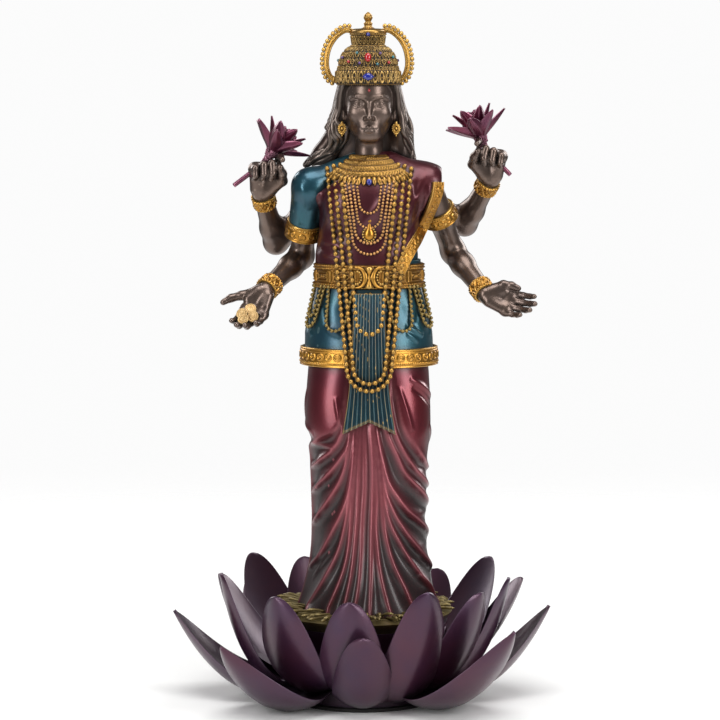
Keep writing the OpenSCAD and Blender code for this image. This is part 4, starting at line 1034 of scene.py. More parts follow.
def hand_wax(p, thumb, curls, spread, thumb_bones, index_curls):
    """A hand drawn along +Z with its palm to -Y: a broad palm with two pads and a hollow, four fingers of
    three bones each bent by the curl angles, and a thumb along its own points."""
    palm = melt(rod(p, (-1.0, 0, 0.5), (-3.0, 0.1, 9.6), 2.9, 2.1),
                rod(p, (1.0, 0, 0.5), (3.0, 0.1, 9.6), 2.9, 2.1), 2.5)
    palm = melt(palm, rod(p, (-3.9, 0.1, 9.9), (3.9, 0.1, 9.9), 1.9, 1.9), 2)
    palm = melt(palm, rod(p, (thumb * 2.2, -1.0, 2.2), (thumb * 3.9, -1.6, 6.2), 2.4, 1.9), 1.5)
    palm = melt(palm, rod(p, (-thumb * 2.8, -0.8, 2.4), (-thumb * 3.6, -0.8, 6.6), 2.0, 1.7), 1.5)
    fingers = np.full(p.shape[:3], 99, np.float32)
    for k, (x, length, size) in enumerate(finger_sizes):
        angles = index_curls if index_curls and k == 0 else [c * (1 + 0.05 * k) for c in curls]
        at = np.array([thumb * x, 0.0, 10.4 - 0.35 * (k - 1.2) ** 2])
        finger = None
        for bone, (part, angle) in enumerate(zip((0.44, 0.31, 0.25), np.radians(angles))):
            lean = np.radians(spread) * thumb * (1.5 - k) * (1 if bone == 0 else 0.3)
            way = np.array([np.sin(lean) * np.cos(angle), -np.sin(angle), np.cos(angle) * np.cos(lean)])
            end = at + way * length * part
            piece = rod(p, at, end, size * (1 - 0.09 * bone), size * (0.91 - 0.09 * bone))
            finger = piece if finger is None else melt(finger, piece, 0.5)
            at = end
        fingers = melt(fingers, finger, 0.25)
    field = melt(palm, fingers, 1.1)
    bones = [np.array(b, float) * (thumb, 1, 1) for b in thumb_bones]
    for a, b, ra, rb in zip(bones[:-1], bones[1:], (2.2, 1.7, 1.5), (1.7, 1.5, 1.2)):
        field = melt(field, rod(p, a, b, ra, rb), 0.9)
    return field


open_thumb = ((3.0, -0.8, 2.6), (7.2, -1.4, 5.8), (10.4, -1.8, 8.4), (12.2, -2.4, 11.2))
near_thumb = ((3.0, -0.8, 2.4), (5.6, -2.2, 5.4), (6.2, -2.8, 8.8), (6.0, -3.0, 11.6))
fist_thumb = ((3.0, -1.0, 2.6), (6.2, -2.8, 6.2), (5.4, -4.8, 9.8), (4.0, -6.0, 12.6))
hands = (
    # thumb side, finger curls, spread, thumb's points, curls of the first finger
    ("right_front", 1, (10, 34, 66), 1.0, open_thumb, None),
    ("left_front", -1, (14, 30, 46), 1.5, near_thumb, None),
    ("right_rear", 1, (52, 138, 200), 0.5, fist_thumb, (16, 62, 92)),
    ("left_rear", -1, (52, 138, 200), 0.5, fist_thumb, (16, 62, 92)),
)
hand_axes = []
for k, (name, *pose) in enumerate(hands):
    bones = np.stack([shoulders[k], elbows[k], wrists[k]])
    low, high, step = bones.min(0) - 8, bones.max(0) + 8, 0.55
    arm = new_piece(name + "_bare_arm", *cast(arm_wax(wax(low, high, step), *bones), low, step))
    finish_piece(arm, skin, "bronze_skin", name + "_arm")
    low, step = (-14, -13, -3.4), 0.3
    points, quads = cast(hand_wax(wax(low, (14, 5, 26), step), *pose), low, step)
    ahead = unit(finger_ways[k])
    palm = unit(palm_ways[k] - (palm_ways[k] @ ahead) * ahead)
    hand_axes.append(np.stack([np.cross(-palm, ahead), -palm, ahead]))
    hand = new_piece(name + "_cast_hand", hand_sizes[k] * points @ hand_axes[k] + wrists[k], quads)
    finish_piece(hand, skin, "bronze_skin", name + "_hand")


def pierced(along, across, half):
    """Relief of a heavy pierced bangle: rope edges, and between them a running row of open lozenges."""
    share = across / half
    rope = bell(np.abs(share) - 0.84, 0.16) * (0.75 + 0.25 * np.cos(2 * np.pi * (along / 1.1 + share)))
    lattice = np.maximum(np.cos(np.pi * (along / 1.5 + share)), np.cos(np.pi * (along / 1.5 - share))) ** 6
    return 0.62 * rope + 0.5 * lattice * (np.abs(share) < 0.72)


bangle_half, bangle_round = 2.7, 27


def bangle_outer(a, across):
    """Outer radius of a bangle at a turn and a place across it."""
    lift = pierced(a / (2 * np.pi) * bangle_round, across, bangle_half)
    return plain_and_rounded(4.15, 0.3, across, bangle_half) + lift


for k, (name, *_) in enumerate(hands):
    way = unit(wrists[k] - elbows[k])
    bangle = limb_ring(wrists[k] - 3.2 * way, way, bangle_half, 180, 3.5, bangle_outer)
    finish_piece(new_piece(name + "_gold_bangle", *bangle), gold, "antique_gold", name + "_bangle")

# ---- Head -------------------------------------------------------------------------------------
# The head and neck are cast with the body and finished in the same dark bronze. The face is a plain
# calm one laid out in thirds from hairline to chin, with five eye widths across.

face_x = axis_x
chin_z, hairline_z = 223.8, 250.0
third = (hairline_z - chin_z) / 3
nose_z = chin_z + third
brow_z = nose_z + third
eye_z = brow_z - 2.2
eye_w = 4.1


def face_wax(p):
    """Skull, jaw, cheeks, brow, nose, lips, lidded eyes, ears and neck, melted together. Distances to the
    left and right are taken together, so the face is even."""
    q = p.copy()
    q[..., 0] = np.abs(p[..., 0] - face_x)
    field = melt(ball(q, (0, 1.2, 244), (10.3, 12.3, 13.2)), ball(q, (0, -2.8, 236.6), (8.7, 9.2, 12.4)), 3)
    field = melt(field, ball(q, (0, -8.6, 226.6), (2.7, 2.3, 2.5)), 2.2)
    field = melt(field, rod(q, (7.2, 0.5, 232), (2.6, -7.6, 226.4), 1.6, 1.9), 3)
    field = melt(field, ball(q, (5.2, -8.0, 235.6), (3.0, 2.4, 2.7)), 2.5)
    field = melt(field, rod(q, (0, 1.4, 210), (0, 1.0, 230), 5.9, 5.5), 2.5)
    eye_hollow = ball(q, (eye_w, -12.9, eye_z + 0.2), (3.0, 2.8, 2.0))
    field = -melt(-field, eye_hollow, 1.5)
    brow = rod(q, (1.7, -11.4, brow_z - 0.2), (5.2, -10.6, brow_z + 0.7), 0.55, 0.45)
    brow = melt(brow, rod(q, (5.2, -10.6, brow_z + 0.7), (7.6, -8.6, brow_z - 0.4), 0.45, 0.3), 0.5)
    field = melt(field, brow, 1.3)
    eye = ball(q, (eye_w, -8.7, eye_z), (2.15, 2.15, 2.15))
    sx, sz = (q[..., 0] - eye_w) / 2.1, (q[..., 2] - eye_z + 0.1)
    almond = np.abs(sz) - 0.95 * np.clip(1 - sx ** 2, 0, 1)
    lids = np.maximum(ball(q, (eye_w, -8.7, eye_z), (2.5, 2.5, 2.35)), -almond * 0.8)
    field = melt(field, lids, 0.35)
    field = np.minimum(field, eye)
    field = melt(field, rod(q, (0, -10.7, eye_z + 1.2), (0, -13.7, nose_z + 1.5), 0.75, 1.0), 1.3)
    field = melt(field, ball(q, (0, -13.9, nose_z + 1.2), (1.25, 1.2, 1.1)), 0.6)
    field = melt(field, ball(q, (1.35, -12.3, nose_z + 0.85), (0.95, 1.2, 0.85)), 0.5)
    nostril = ball(q, (0.75, -13.0, nose_z + 0.1), (0.42, 0.7, 0.4))
    field = -melt(-field, nostril, 0.3)
    lip_z = nose_z - third * 0.36
    field = melt(field, ball(q, (0, -9.9, lip_z - 0.1), (3.3, 1.7, 2.8)), 2.6)
    upper = melt(rod(q, (0.4, -11.95, lip_z + 0.5), (3.0, -10.5, lip_z + 0.05), 0.66, 0.24),
                 ball(q, (0, -11.9, lip_z + 0.4), (0.9, 0.7, 0.55)), 0.6)
    lower = melt(rod(q, (0, -11.75, lip_z - 0.95), (2.5, -10.6, lip_z - 0.5), 0.8, 0.3),
                 ball(q, (0.9, -11.75, lip_z - 0.95), (1.0, 0.75, 0.75)), 0.6)
    field = melt(field, np.minimum(upper, lower), 0.5)
    part = rod(q, (0, -12.75, lip_z - 0.2), (3.2, -11.0, lip_z - 0.08), 0.24, 0.16)
    field = -melt(-field, part, 0.2)
    ear = melt(ball(q, (10.0, 0.6, 236.8), (1.1, 2.2, 3.3)), ball(q, (10.0, 0.2, 233.6), (0.9, 1.3, 1.4)), 0.6)
    return melt(field, ear, 0.8)


low, step = np.array([-10.5, -16.5, 212.0]), 0.235
points, quads = cast(face_wax(wax(low, (15.3, 15, 258), step)), low, step)
head = new_piece("calm_head", points, quads)
face_bronze = paint("dark_bronze_fine", (112, 94, 84), (96, 84, 80), (14, 11, 10), (196, 178, 164), 0.85, 0.34,
                    0.15, patch=80.0, second_amount=0.5, wash_amount=1.0, brushed_amount=0.25, reach=0.0013)
finish_piece(head, face_bronze, "bronze_skin", "head")

# ---- Hair -------------------------------------------------------------------------------------
# Long hair parted in the middle, swept behind the ears and lying in wavy locks over the shoulders and
# down the back. It is cast with the head, painted pewter and dry-brushed with silver on the locks.


def hair_wax(p):
    """The mass under the locks: a cap behind the face, two falls beside the neck that swing out over the
    shoulders, and a broad fall down the back."""
    x, y, z = p[..., 0] - face_x, p[..., 1], p[..., 2]
    cap = ball(p, (face_x, 1.8, 242.5), (11.6, 12.9, 13.4))
    face_open = np.interp(z, [224, 236, 244, 248, 252], [-3.5, -4.5, -6.6, -9.5, -12])
    cap = np.maximum(cap, (face_open - y) * 0.8)
    fall = None
    for side, outer in ((-1, (-25.2, 6.0, 214.6)), (1, (17.4, 6.0, 216.4))):
        ear, shoulder = (face_x + side * 12.4, 3.4, 229), (face_x + outer[0] * 0.75, 5.5, 219.5)
        lock = rod(p, (face_x + side * 9.2, 2.0, 240), ear, 2.8, 3.4)
        lock = melt(lock, rod(p, ear, shoulder, 3.4, 3.2), 2)
        lock = melt(lock, rod(p, shoulder, (face_x + outer[0], *outer[1:]), 3.0, 1.4), 2)
        fall = lock if fall is None else np.minimum(fall, lock)
    back = melt(ball(p, (face_x, 8.5, 228), (13.5, 6.5, 19)), ball(p, (face_x, 12.2, 206), (15.5, 5.2, 21)), 6)
    return melt(melt(cap, fall, 2.5), back, 4)


low, step = np.array([-28, -12, 184.0]), 0.6
hair_parts = [cast(hair_wax(wax(low, (25, 20, 257), step)), low, step)]


def laid_on(path, field_of, gap, passes=5):
    """The path moved on to a field's surface: each point steps along the field's slope by what it is off."""
    for _ in range(passes):
        off = field_of(path) - gap
        slope = unit(np.stack([field_of(path + way) - field_of(path - way) for way in 0.25 * np.eye(3)], -1))
        path = path - np.clip(off, -2, 2)[:, None] * slope * 0.8
    return path


lock_count, lock_points = 96, 46
rng = np.random.default_rng(5)
for k in range(lock_count):
    side = -1 if k % 2 else 1
    share = (k // 2) / (lock_count // 2 - 1)
    bearing = np.radians(52 + 126 * share) * side
    top = np.array([face_x + 11.6 * np.sin(bearing), 1.4 - 11.9 * np.cos(bearing), 251 + rng.uniform(-1, 1)])
    if share < 0.4:
        reach = 25.5 if side < 0 else 18.6
        out = np.array([face_x + side * (reach - 16 * share + rng.uniform(-1.5, 1.0)), 3.5 + 15 * share,
                        214.5 + 6 * share + (2 if side > 0 else 0) + rng.uniform(-1.5, 1.5)])
        ear = np.array([face_x + side * (12.6 - 3 * share + rng.uniform(-0.5, 0.5)), 1.0 + 14 * share, 232])
        swing = np.array([face_x + side * (15.2 - 5 * share + rng.uniform(-0.7, 0.7)), 3.0 + 14 * share, 223])
    else:
        out = np.array([face_x + side * (17 * np.cos((share - 0.4) * 2.5) + rng.uniform(-1, 1)), 17.5,
                        187 + 10 * rng.random() + 8 * (1 - share)])
        ear = np.array([face_x + side * 13.2 * np.cos((share - 0.4) * 2.4), 11 + 3 * share, 230])
        swing = np.array([face_x + side * 14.5 * np.cos((share - 0.4) * 2.5), 14.5, 212])
    path = smooth_curve(np.array([top, ear, swing, out]), lock_points)
    way = np.linspace(0, 1, lock_points)
    wave = 0.9 * np.sin(way * rng.uniform(9, 14) + rng.uniform(0, 6)) * way
    path = path + wave[:, None] * np.array([np.cos(bearing), np.sin(bearing), 0])
    path = laid_on(path, hair_wax, rng.uniform(0.1, 0.5))
    radius = rng.uniform(0.8, 1.25) * np.interp(way, [0, 0.15, 0.6, 0.9, 1], [0.55, 0.9, 1.1, 0.8, 0.2])
    hair_parts.append(swept(path, radius, 8, up=(0, 1, 0.2), flat=0.85, twist=rng.uniform(-160, 160)))
hair = new_piece("wavy_hair", *joined(hair_parts))
pewter = paint("pewter_hair", (76, 62, 55), (58, 49, 47), (10, 9, 9), (198, 182, 170), 0.85, 0.32, 0.2,
               patch=60.0, second_amount=0.6, wash_amount=0.97, brushed_amount=0.42, reach=0.0026)
finish_piece(hair, pewter, "hair_paint", "hair")

# ---- Crown ------------------------------------------------------------------------------------
# A tall gold crown cast in one with the head: a band, a domed filigree cap with a waisted top, a
# small finial, and a scalloped loop on each side. It is washed nearly black in the hollows, and its
# stones are drops of coloured enamel.

crown_x, crown_y = 2.0, -0.2


def turned_relief(profile, relief_of, rows, cols):
    """A turned shape with relief: (radius, height) points made a smooth curve, carried round, and lifted out
    by a relief of (mm round it, mm along the profile). Returns the points and quads, closed at both ends,
    and the relief as a share of its height."""
    curve = smooth_curve(profile, rows)
    a = circle(cols)[None, :]
    lift = relief_of((a - np.pi) * curve[:, 0].max(), lengths(curve)[:, None])
    slope = unit(np.gradient(curve, axis=0))
    r = curve[:, :1] + lift * np.abs(slope[:, 1:])
    z = curve[:, 1:] - lift * slope[:, :1] * np.sign(slope[:, 1:] + 1e-9)
    points, quads = solid(xyz(crown_x - r * np.sin(a), crown_y + r * np.cos(a), z))
    return points, quads, np.append(lift / lift.max(), [0.5, 0.5])


def filigree(u, v, cell=3.4, rise=2.9):
    """Relief of close-set scrollwork: staggered rows of open pointed rings, each with a bead at its heart,
    curling stems between them and a bead in every gap."""
    row = np.floor(v / rise)
    x = (u + (row % 2) * cell / 2 + cell / 2) % cell - cell / 2
    y = v - (row + 0.5) * rise
    leaf = np.hypot(x / 0.95, y / 1.2) + 0.3 * np.abs(x) * np.clip(y, 0, 9) - 0.85
    outline = bell(leaf, 0.17)
    heart = np.exp(-(x ** 2 + y ** 2) / 0.08)
    gap_x = (x + cell) % cell - cell / 2
    gaps = np.exp(-(gap_x ** 2 + (y - 0.6) ** 2) / 0.09)
    curl = bell(np.abs(gap_x) - 0.3 - 0.28 * np.sin(y * 2.6), 0.11) * 0.75
    return 0.62 * np.maximum(np.maximum(outline, heart), np.maximum(gaps, curl))


def uprights(u, v, height):
    """Relief of a standing row: rope edges at the foot and the top, and upright leaves between them, each a
    pointed ring round a small bead, with a stem and a bead in every gap."""
    rope = bell(v - 0.55, 0.4) + bell(v - height + 0.5, 0.36)
    rope = rope * (0.7 + 0.3 * np.cos(2 * np.pi * u / 0.9))
    near = (u + 1.4) % 2.8 - 1.4
    mid = v - height * 0.5
    leaf = np.hypot(near / 0.8, mid / (height * 0.27)) + 0.35 * np.clip(mid, 0, 9) * np.abs(near) / height
    outline = bell(leaf - 1, 0.26)
    heart = np.exp(-(near ** 2 + (mid + 0.3) ** 2) / 0.1)
    gap = 1.4 - np.abs(near)
    stem = bell(gap, 0.16) * (np.abs(mid) < height * 0.26)
    stem = stem + np.exp(-(gap ** 2 + (mid - height * 0.28) ** 2) / 0.12)
    return 0.55 * np.clip(np.maximum(np.maximum(rope, outline), np.maximum(heart, stem)), 0, 1)


crown_gold = paint("crown_gold", (158, 116, 52), (112, 88, 54), (12, 10, 9), (240, 206, 132), 0.95, 0.3, 0.1,
                   patch=160.0, second_amount=0.8, wash_amount=0.97, brushed_amount=0.5, reach=0.0014)


def cap_relief(u, v, domed=14.6, waisted=20.6):
    """Relief of the cap: filigree on the dome, a standing row round the waist, then plain to the top."""
    upper = np.where(v < waisted, uprights(u, v - domed, waisted - domed), 0.4)
    return np.where(v < domed, filigree(u, v), upper) * np.clip(v / 2, 0, 1)


def crown_piece(name, profile, relief_of, rows, cols, node, material=crown_gold):
    """One turned part of the crown: washed dark where its relief is low."""
    points, quads, lift = turned_relief(profile, relief_of, rows, cols)
    piece = new_piece(name, points, quads, {"hollow": np.clip(1.15 - 1.9 * lift, 0, 1), "crest": lift ** 3})
    finish_piece(piece, material, "antique_gold", node)


# radius and height along each part's profile
band_profile = [(11.6, 246.8), (12.6, 246.9), (12.9, 247.8), (12.7, 249.6), (12.4, 252.0), (11.4, 252.4)]
cap_profile = [(9.0, 250), (11.8, 251.6), (11.6, 253.6), (10.9, 256.6), (9.2, 259.6), (7.0, 261.4),
               (6.2, 262.2), (6.3, 263.6), (6.6, 265.6), (7.0, 267.2), (6.0, 267.9), (2.6, 268.2)]
finial_profile = [(3.4, 267.4), (3.2, 268.2), (1.9, 269.0), (1.5, 269.9), (1.75, 270.5), (1.1, 271.2),
                  (1.35, 271.9), (1.75, 272.8), (1.45, 273.8), (0.6, 274.6), (0.15, 274.95)]
crown_piece("crown_band_scrolled", band_profile, lambda u, v: uprights(u, v, 7.4), 70, 480, "crown_band")
crown_piece("crown_cap_filigree", cap_profile, cap_relief, 170, 460, "crown_cap")
crown_piece("crown_finial_turned", finial_profile, lambda u, v: 0.12 * np.cos(u * 5) ** 2 + 0 * v, 60, 48,
            "crown_finial", gold)


def beads(centres, radius, sides=8):
    """A small ball of four rings with that many sides at each centre, as one set of points and quads."""
    centres = np.asarray(centres, float).reshape(-1, 3)
    a = circle(sides)
    down = np.linspace(0, np.pi, 6)[1:-1, None]
    shape, quads = solid(xyz(np.sin(down) * np.cos(a), np.sin(down) * np.sin(a), np.cos(down)))
    shape[-2:] = [(0, 0, 1), (0, 0, -1)]
    radius = np.broadcast_to(np.asarray(radius, float), (len(centres),))
    points = (centres[:, None] + shape[None] * radius[:, None, None]).reshape(-1, 3)
    faces = (quads[None] + (np.arange(len(centres)) * len(shape))[:, None, None]).reshape(-1, 4)
    return points, faces


def tapered(count, shares, radii):
    """That many radii along a path, read off the radii given at shares of its length."""
    return np.interp(np.linspace(0, 1, count), shares, radii)


def gold_set(name, parts, material, node):
    """A piece of cast gold made of several parts."""
    finish_piece(new_piece(name, *joined(parts)), material, "antique_gold", node)


loop_parts, loop_points = [], 90
loop = np.array([(12.0, 248.2), (14.4, 249.4), (15.9, 253), (16.0, 257), (14.7, 261.8), (11.6, 266.0),
                 (8.2, 267.9), (5.0, 267.0)])
for side in (-1, 1):
    curve = smooth_curve(loop, loop_points)
    path = xyz(crown_x - 0.4 + side * curve[:, 0], 0, curve[:, 1])
    outwards = -np.cross(unit(np.gradient(path, axis=0)), [0, side, 0])
    radii = tapered(loop_points, [0, 0.1, 0.9, 1], [1.2, 1.1, 1.1, 0.8])
    loop_parts.append(swept(path, radii, 14, (0, 1, 0)))
    for lift, depth in ((0.765, 0.72), (0.765, -0.72), (-0.765, 0.72), (-0.765, -0.72)):
        loop_parts.append(swept(path + outwards * lift + np.array([0, depth, 0]), 0.28, 6, (0, 1, 0)))
    loop_parts.append(beads(smooth_curve(path[4:-8] + outwards[4:-8] * 1.75, 17), 0.95, 10))
    loop_parts.append(beads(smooth_curve(path + np.array([0, -1.15, 0]), 44), 0.3, 6))
gold_set("crown_side_loops", loop_parts, gold, "crown_loops")


def cabochon(centre, half_w, half_h, depth, point=1.0):
    """A stone with a faceted dome, facing the front: rings of an oval whose outline's power sets how pointed
    it is (1 round, more than 1 drawn out to four points)."""
    t = np.linspace(0, 1, 7)[:, None] * np.pi / 2
    r = np.concatenate([[[1.0]], np.cos(t) * 0.999 + 0.001])
    y = np.concatenate([[[depth * 0.3]], -depth * np.sin(t)])
    c, s = np.cos(circle(16)), np.sin(circle(16))
    x = half_w * np.sign(c) * np.abs(c) ** point
    z = half_h * np.sign(s) * np.abs(s) ** point
    return solid(xyz(centre[0] + r * x, centre[1] + y, centre[2] + r * z))


stones = [
    # place, half width, half height, depth, pointedness, colour: 0 red, 0.3 blue, 0.6 turquoise, 0.9 violet
    ((crown_x - 0.1, -11.5, 257.2), 1.35, 1.8, 1.3, 1.0, 0.0),
    ((crown_x, -13.9, 249.7), 2.3, 1.6, 1.3, 1.5, 0.3),
    ((crown_x, -7.1, 266.2), 0.85, 0.85, 0.9, 1.0, 0.3),
    ((face_x, -11.3, 244.3), 0.55, 0.7, 0.6, 1.0, 0.0),
]
for bearing, z, colour in (
    (-24, 259.0, 0.6), (-40, 255.6, 0.0), (26, 258.8, 0.9), (42, 255.2, 0.0), (-16, 255.0, 0.9),
    (17, 254.6, 0.6), (58, 257.4, 0.6), (-60, 257.2, 0.9), (150, 257, 0.0), (-150, 257, 0.6),
    (180, 257.4, 0.3), (100, 256, 0.9), (-100, 256, 0.6),
):
    reach = np.interp(z, [252, 254.6, 257.6, 260.4], [12.3, 12.0, 11.3, 9.6]) + 0.3
    a = np.radians(bearing)
    place = (crown_x + reach * np.sin(a), crown_y - reach * np.cos(a), z)
    stones.append((place, 0.6, 0.6, 0.7, 1.0, colour))
stone_parts = [cabochon(*stone[:5]) for stone in stones]
colours = np.concatenate([np.full(len(part[0]), stone[5]) for part, stone in zip(stone_parts, stones)])
gems = new_piece("enamel_stones", *joined(stone_parts), {"stone": colours})
enamel, tree, out = new_material("enamel_drops")
ramp = tree.nodes.new("ShaderNodeValToRGB")
ramp.color_ramp.interpolation = "CONSTANT"
for place, colour in ((0.0, (186, 14, 26)), (0.2, (24, 36, 140)), (0.5, (36, 120, 128)), (0.8, (88, 48, 128))):
    stop = ramp.color_ramp.elements.new(place) if place else ramp.color_ramp.elements[0]
    stop.color = rgb(*colour)
ramp.color_ramp.elements.remove(ramp.color_ramp.elements[-1])
tree.links.new(mask_value(tree, "stone"), ramp.inputs["Fac"])
depths = add(tree, "TexNoise", Vector=add(tree, "TexCoord").outputs["Object"], Scale=900.0, Detail=2.0)
deep = add(tree, "MapRange", Value=depths.outputs["Fac"], From_Min=0.35, From_Max=0.65, To_Min=0.0, To_Max=0.35)
tinted = mix_colour(tree, deep.outputs["Result"], ramp.outputs["Color"], (0.01, 0.01, 0.02, 1))
shader = add(tree, "BsdfPrincipled", Base_Color=tinted, Roughness=0.12, Coat_Weight=1.0, Coat_Roughness=0.05)
tree.links.new(shader.outputs[0], out.inputs["Surface"])
finish_piece(gems, enamel, "gem_enamel", "crown_gems")

# ---- Earrings ---------------------------------------------------------------------------------
# Cast gold drops: a stud, a beaded ring with a boss in it, and three tiny beads below.



def hoop(centre, half_w, half_h, count, closed=False):
    """Points of an upright oval facing the front, from its right-hand side on; closed repeats the first."""
    a = np.linspace(0, 2 * np.pi, count) if closed else circle(count)
    return xyz(centre[0] + half_w * np.cos(a), centre[1], centre[2] + half_h * np.sin(a))


earring_parts = []
for side in (-1, 1):
    centre = np.array([face_x + side * 10.7, -3.6, 229.2])
    drops = [(0, 0, 2.2), (0, 0, -2.1), (-0.5, 0, -2.0), (0.5, 0, -2.0), (0, 0, -2.8)]
    earring_parts += [
        swept(hoop(centre, 1.05, 1.05 * 1.25, 29, closed=True), 0.42, 8, (0, 1, 0)),
        beads(hoop(centre, 1.5, 1.5 * 1.25, 14), 0.34),
        beads(centre + (0, -0.2, 0), 0.62, 10),
        beads(centre + np.array(drops), [0.62, 0.5, 0.36, 0.36, 0.36]),
    ]
gold_set("drop_earrings", earring_parts, gold, "earrings")

# ---- Bead strands and fine necklaces ------------------------------------------------------------
# Long strands of round gold beads cast on to the front of the body, with a bed behind each row that is painted
# dark as the shade between the beads, and each bead painted lighter on its front and darker on its back. They
# hang in nested loops from the shoulders; two finer ones and a drop hang on the chest.

chest_front = np.minimum(trunk, stole_field).astype(np.float32)


def front_y(x, z):
    """y of the clothes' front at each (x, z): the cast bodice and stole above the belt, the rounded tunic
    and sash below it."""
    grow = np.interp(z, [118, 150, 166], [6.2, 3.9, 2.4])
    w, d = body_half(z)
    below = -(d + grow) * np.sqrt(np.clip(1 - ((x - axis_x) / (w + grow)) ** 2, 0.05, 1))
    above = drop_on(chest_front, x, np.clip(z, 175.5, 219))
    above = np.where(above < open_front + 0.2, 3.0, above)
    share = np.clip((z - 172) / 6, 0, 1)
    return below * (1 - share) + above * share


def u_line(radius, top_w, low_z, top_z, count):
    """(x, z) of a hanging loop: a half circle at the bottom, then nearly straight sides spreading to half
    the top width, from the left end to the right one, evenly spaced."""
    a = np.radians(np.linspace(-90, 90, 41))
    bow = np.stack([radius * np.sin(a), low_z + radius * (1 - np.cos(a))], 1)
    ends = np.array([[-top_w, top_z], [top_w, top_z]])
    line = np.concatenate([ends[:1], bow, ends[1:]])
    along = lengths(line)
    at = np.linspace(0, along[-1], count)
    x, z = (np.interp(at, along, column) for column in line.T)
    return axis_x + x, z, along[-1]


def spaced(path, length, pitch):
    """Points a pitch apart, or a little more, along a path of that length with even steps."""
    at = np.linspace(0, len(path) - 1, int(length / pitch))
    return np.stack([np.interp(at, np.arange(len(path)), column) for column in path.T], 1)


def bead_row(name, x, z, length, size):
    """Beads all along a line laid on the clothes, on a thin bed that shows between them and is painted dark as
    shade. Each bead is painted lighter on its front and darker on its back, as highlight and shade.
    """
    y = np.convolve(np.pad(front_y(x, z), 8, mode="edge"), np.ones(17) / 17, "valid")
    path = xyz(x, y - size * 0.3, z)
    centres = spaced(path, length, size * 1.2)
    bed = swept(path[::3] + (0, size * 0.42, 0), size * 0.3, 8, (0, 1, 0))
    parts = [beads(centres, size / 2, 10), bed]
    # Painted highlight and shade: each bead is lighter on its front and darker on its back, and the bed is dark
    # all over.
    back = (centres[:, 1, None] - parts[0][0][:, 1].reshape(len(centres), -1)).ravel() / (size / 2)
    dark = np.concatenate([np.clip(0.42 - 0.7 * back, 0, 1), np.full(len(bed[0]), 1.0)])
    bright = np.concatenate([np.clip(back, 0, 1) ** 3, np.zeros(len(bed[0]))])
    return new_piece(name, *joined(parts), {"hollow": dark, "crest": bright})


strand_gold = paint("bead_gold", (158, 112, 44), (126, 86, 36), (20, 13, 8), (232, 188, 104), 0.95, 0.3, 0.1,
                    patch=200.0, second_amount=0.7, wash_amount=0.96, brushed_amount=0.5, reach=0.0012)
for name, node, radius, top_w, low_z, top_z, size in (
        ("outer_strand_beads", "outer_bead_strand", 8.8, 16.6, 126.8, 213.5, 1.95),
        ("middle_strand_beads", "middle_bead_strand", 6.3, 14.0, 129.6, 214.5, 1.95),
        ("inner_strand_beads", "inner_bead_strand", 5.0, 11.4, 149.0, 215.0, 2.05)):
    row = bead_row(name, *u_line(radius, top_w, low_z, top_z, 400), size)
    finish_piece(row, strand_gold, "antique_gold", node)

fine = []
for radius, top_w, low_z, top_z, size in (
        (6.6, 10.2, 180.2, 212.5, 1.2), (5.6, 8.8, 184.4, 213.4, 1.25),
        (4.6, 7.2, 190.5, 213.0, 1.1), (3.8, 5.6, 196.4, 213.0, 1.1)):
    x, z, length = u_line(radius, top_w, low_z, top_z, 260)
    path = xyz(x, front_y(x, z) - size * 0.35, z)
    fine.append(beads(spaced(path, length, size * 1.12), size / 2))
red_gold = paint("red_gold_beads", (170, 100, 56), (140, 70, 50), (34, 16, 12), (236, 190, 120), 0.9, 0.32, 0.2,
                 patch=200.0, second_amount=0.7, wash_amount=0.9, brushed_amount=0.6, reach=0.0012)
gold_set("fine_necklaces", fine, red_gold, "short_necklace")

drop_y = float(front_y(np.array([axis_x]), np.array([190.0]))[0])
low, step = np.array([-2.0, drop_y - 4, 182.5]), 0.2
p = wax(low, (7, drop_y + 3, 197), step)
field = melt(ball(p, (axis_x, drop_y, 188.0), (2.1, 1.5, 2.4)),
             rod(p, (axis_x, drop_y, 189.5), (axis_x, drop_y - 0.2, 192.8), 1.3, 0.5), 0.6)
field = melt(field, ball(p, (axis_x, drop_y - 0.4, 193.6), (1.2, 1.0, 1.1)), 0.3)
ring_beads = beads(hoop((axis_x, drop_y - 0.5, 188.0), 2.5, 2.8, 16), 0.4)
gold_set("pendant_drop", [cast(field, low, step), ring_beads], gold, "pendant")

# ---- Choker -----------------------------------------------------------------------------------
# A broad cast collar round the base of the neck: three braided rows in gold, a fringe of small
# leaves hanging from the last, and a dark stone in the middle of the fringe.


def collar(bearing, drop):
    """Points of the collar: close round the neck, then spreading down and out on to the chest in front and
    the shoulders beside it, kept just outside the clothes."""
    a, drop = np.broadcast_arrays(np.radians(bearing), drop)
    x = axis_x + (5.9 + 0.62 * drop) * np.sin(a)
    y = 1.4 - (5.6 + 0.42 * drop) * np.cos(a)
    z = 218.6 - 0.62 * drop * (0.35 + 0.65 * np.clip(np.cos(a / 1.5), 0, 1))
    clothes = front_y(x.ravel(), np.clip(z.ravel(), 176, 218.4)).reshape(x.shape)
    ahead = np.clip(np.cos(a) * 3, 0, 1)
    y = np.where(ahead > 0, y + ahead * np.minimum(clothes - 0.2 - y, 0), y)
    return xyz(x, y, z)


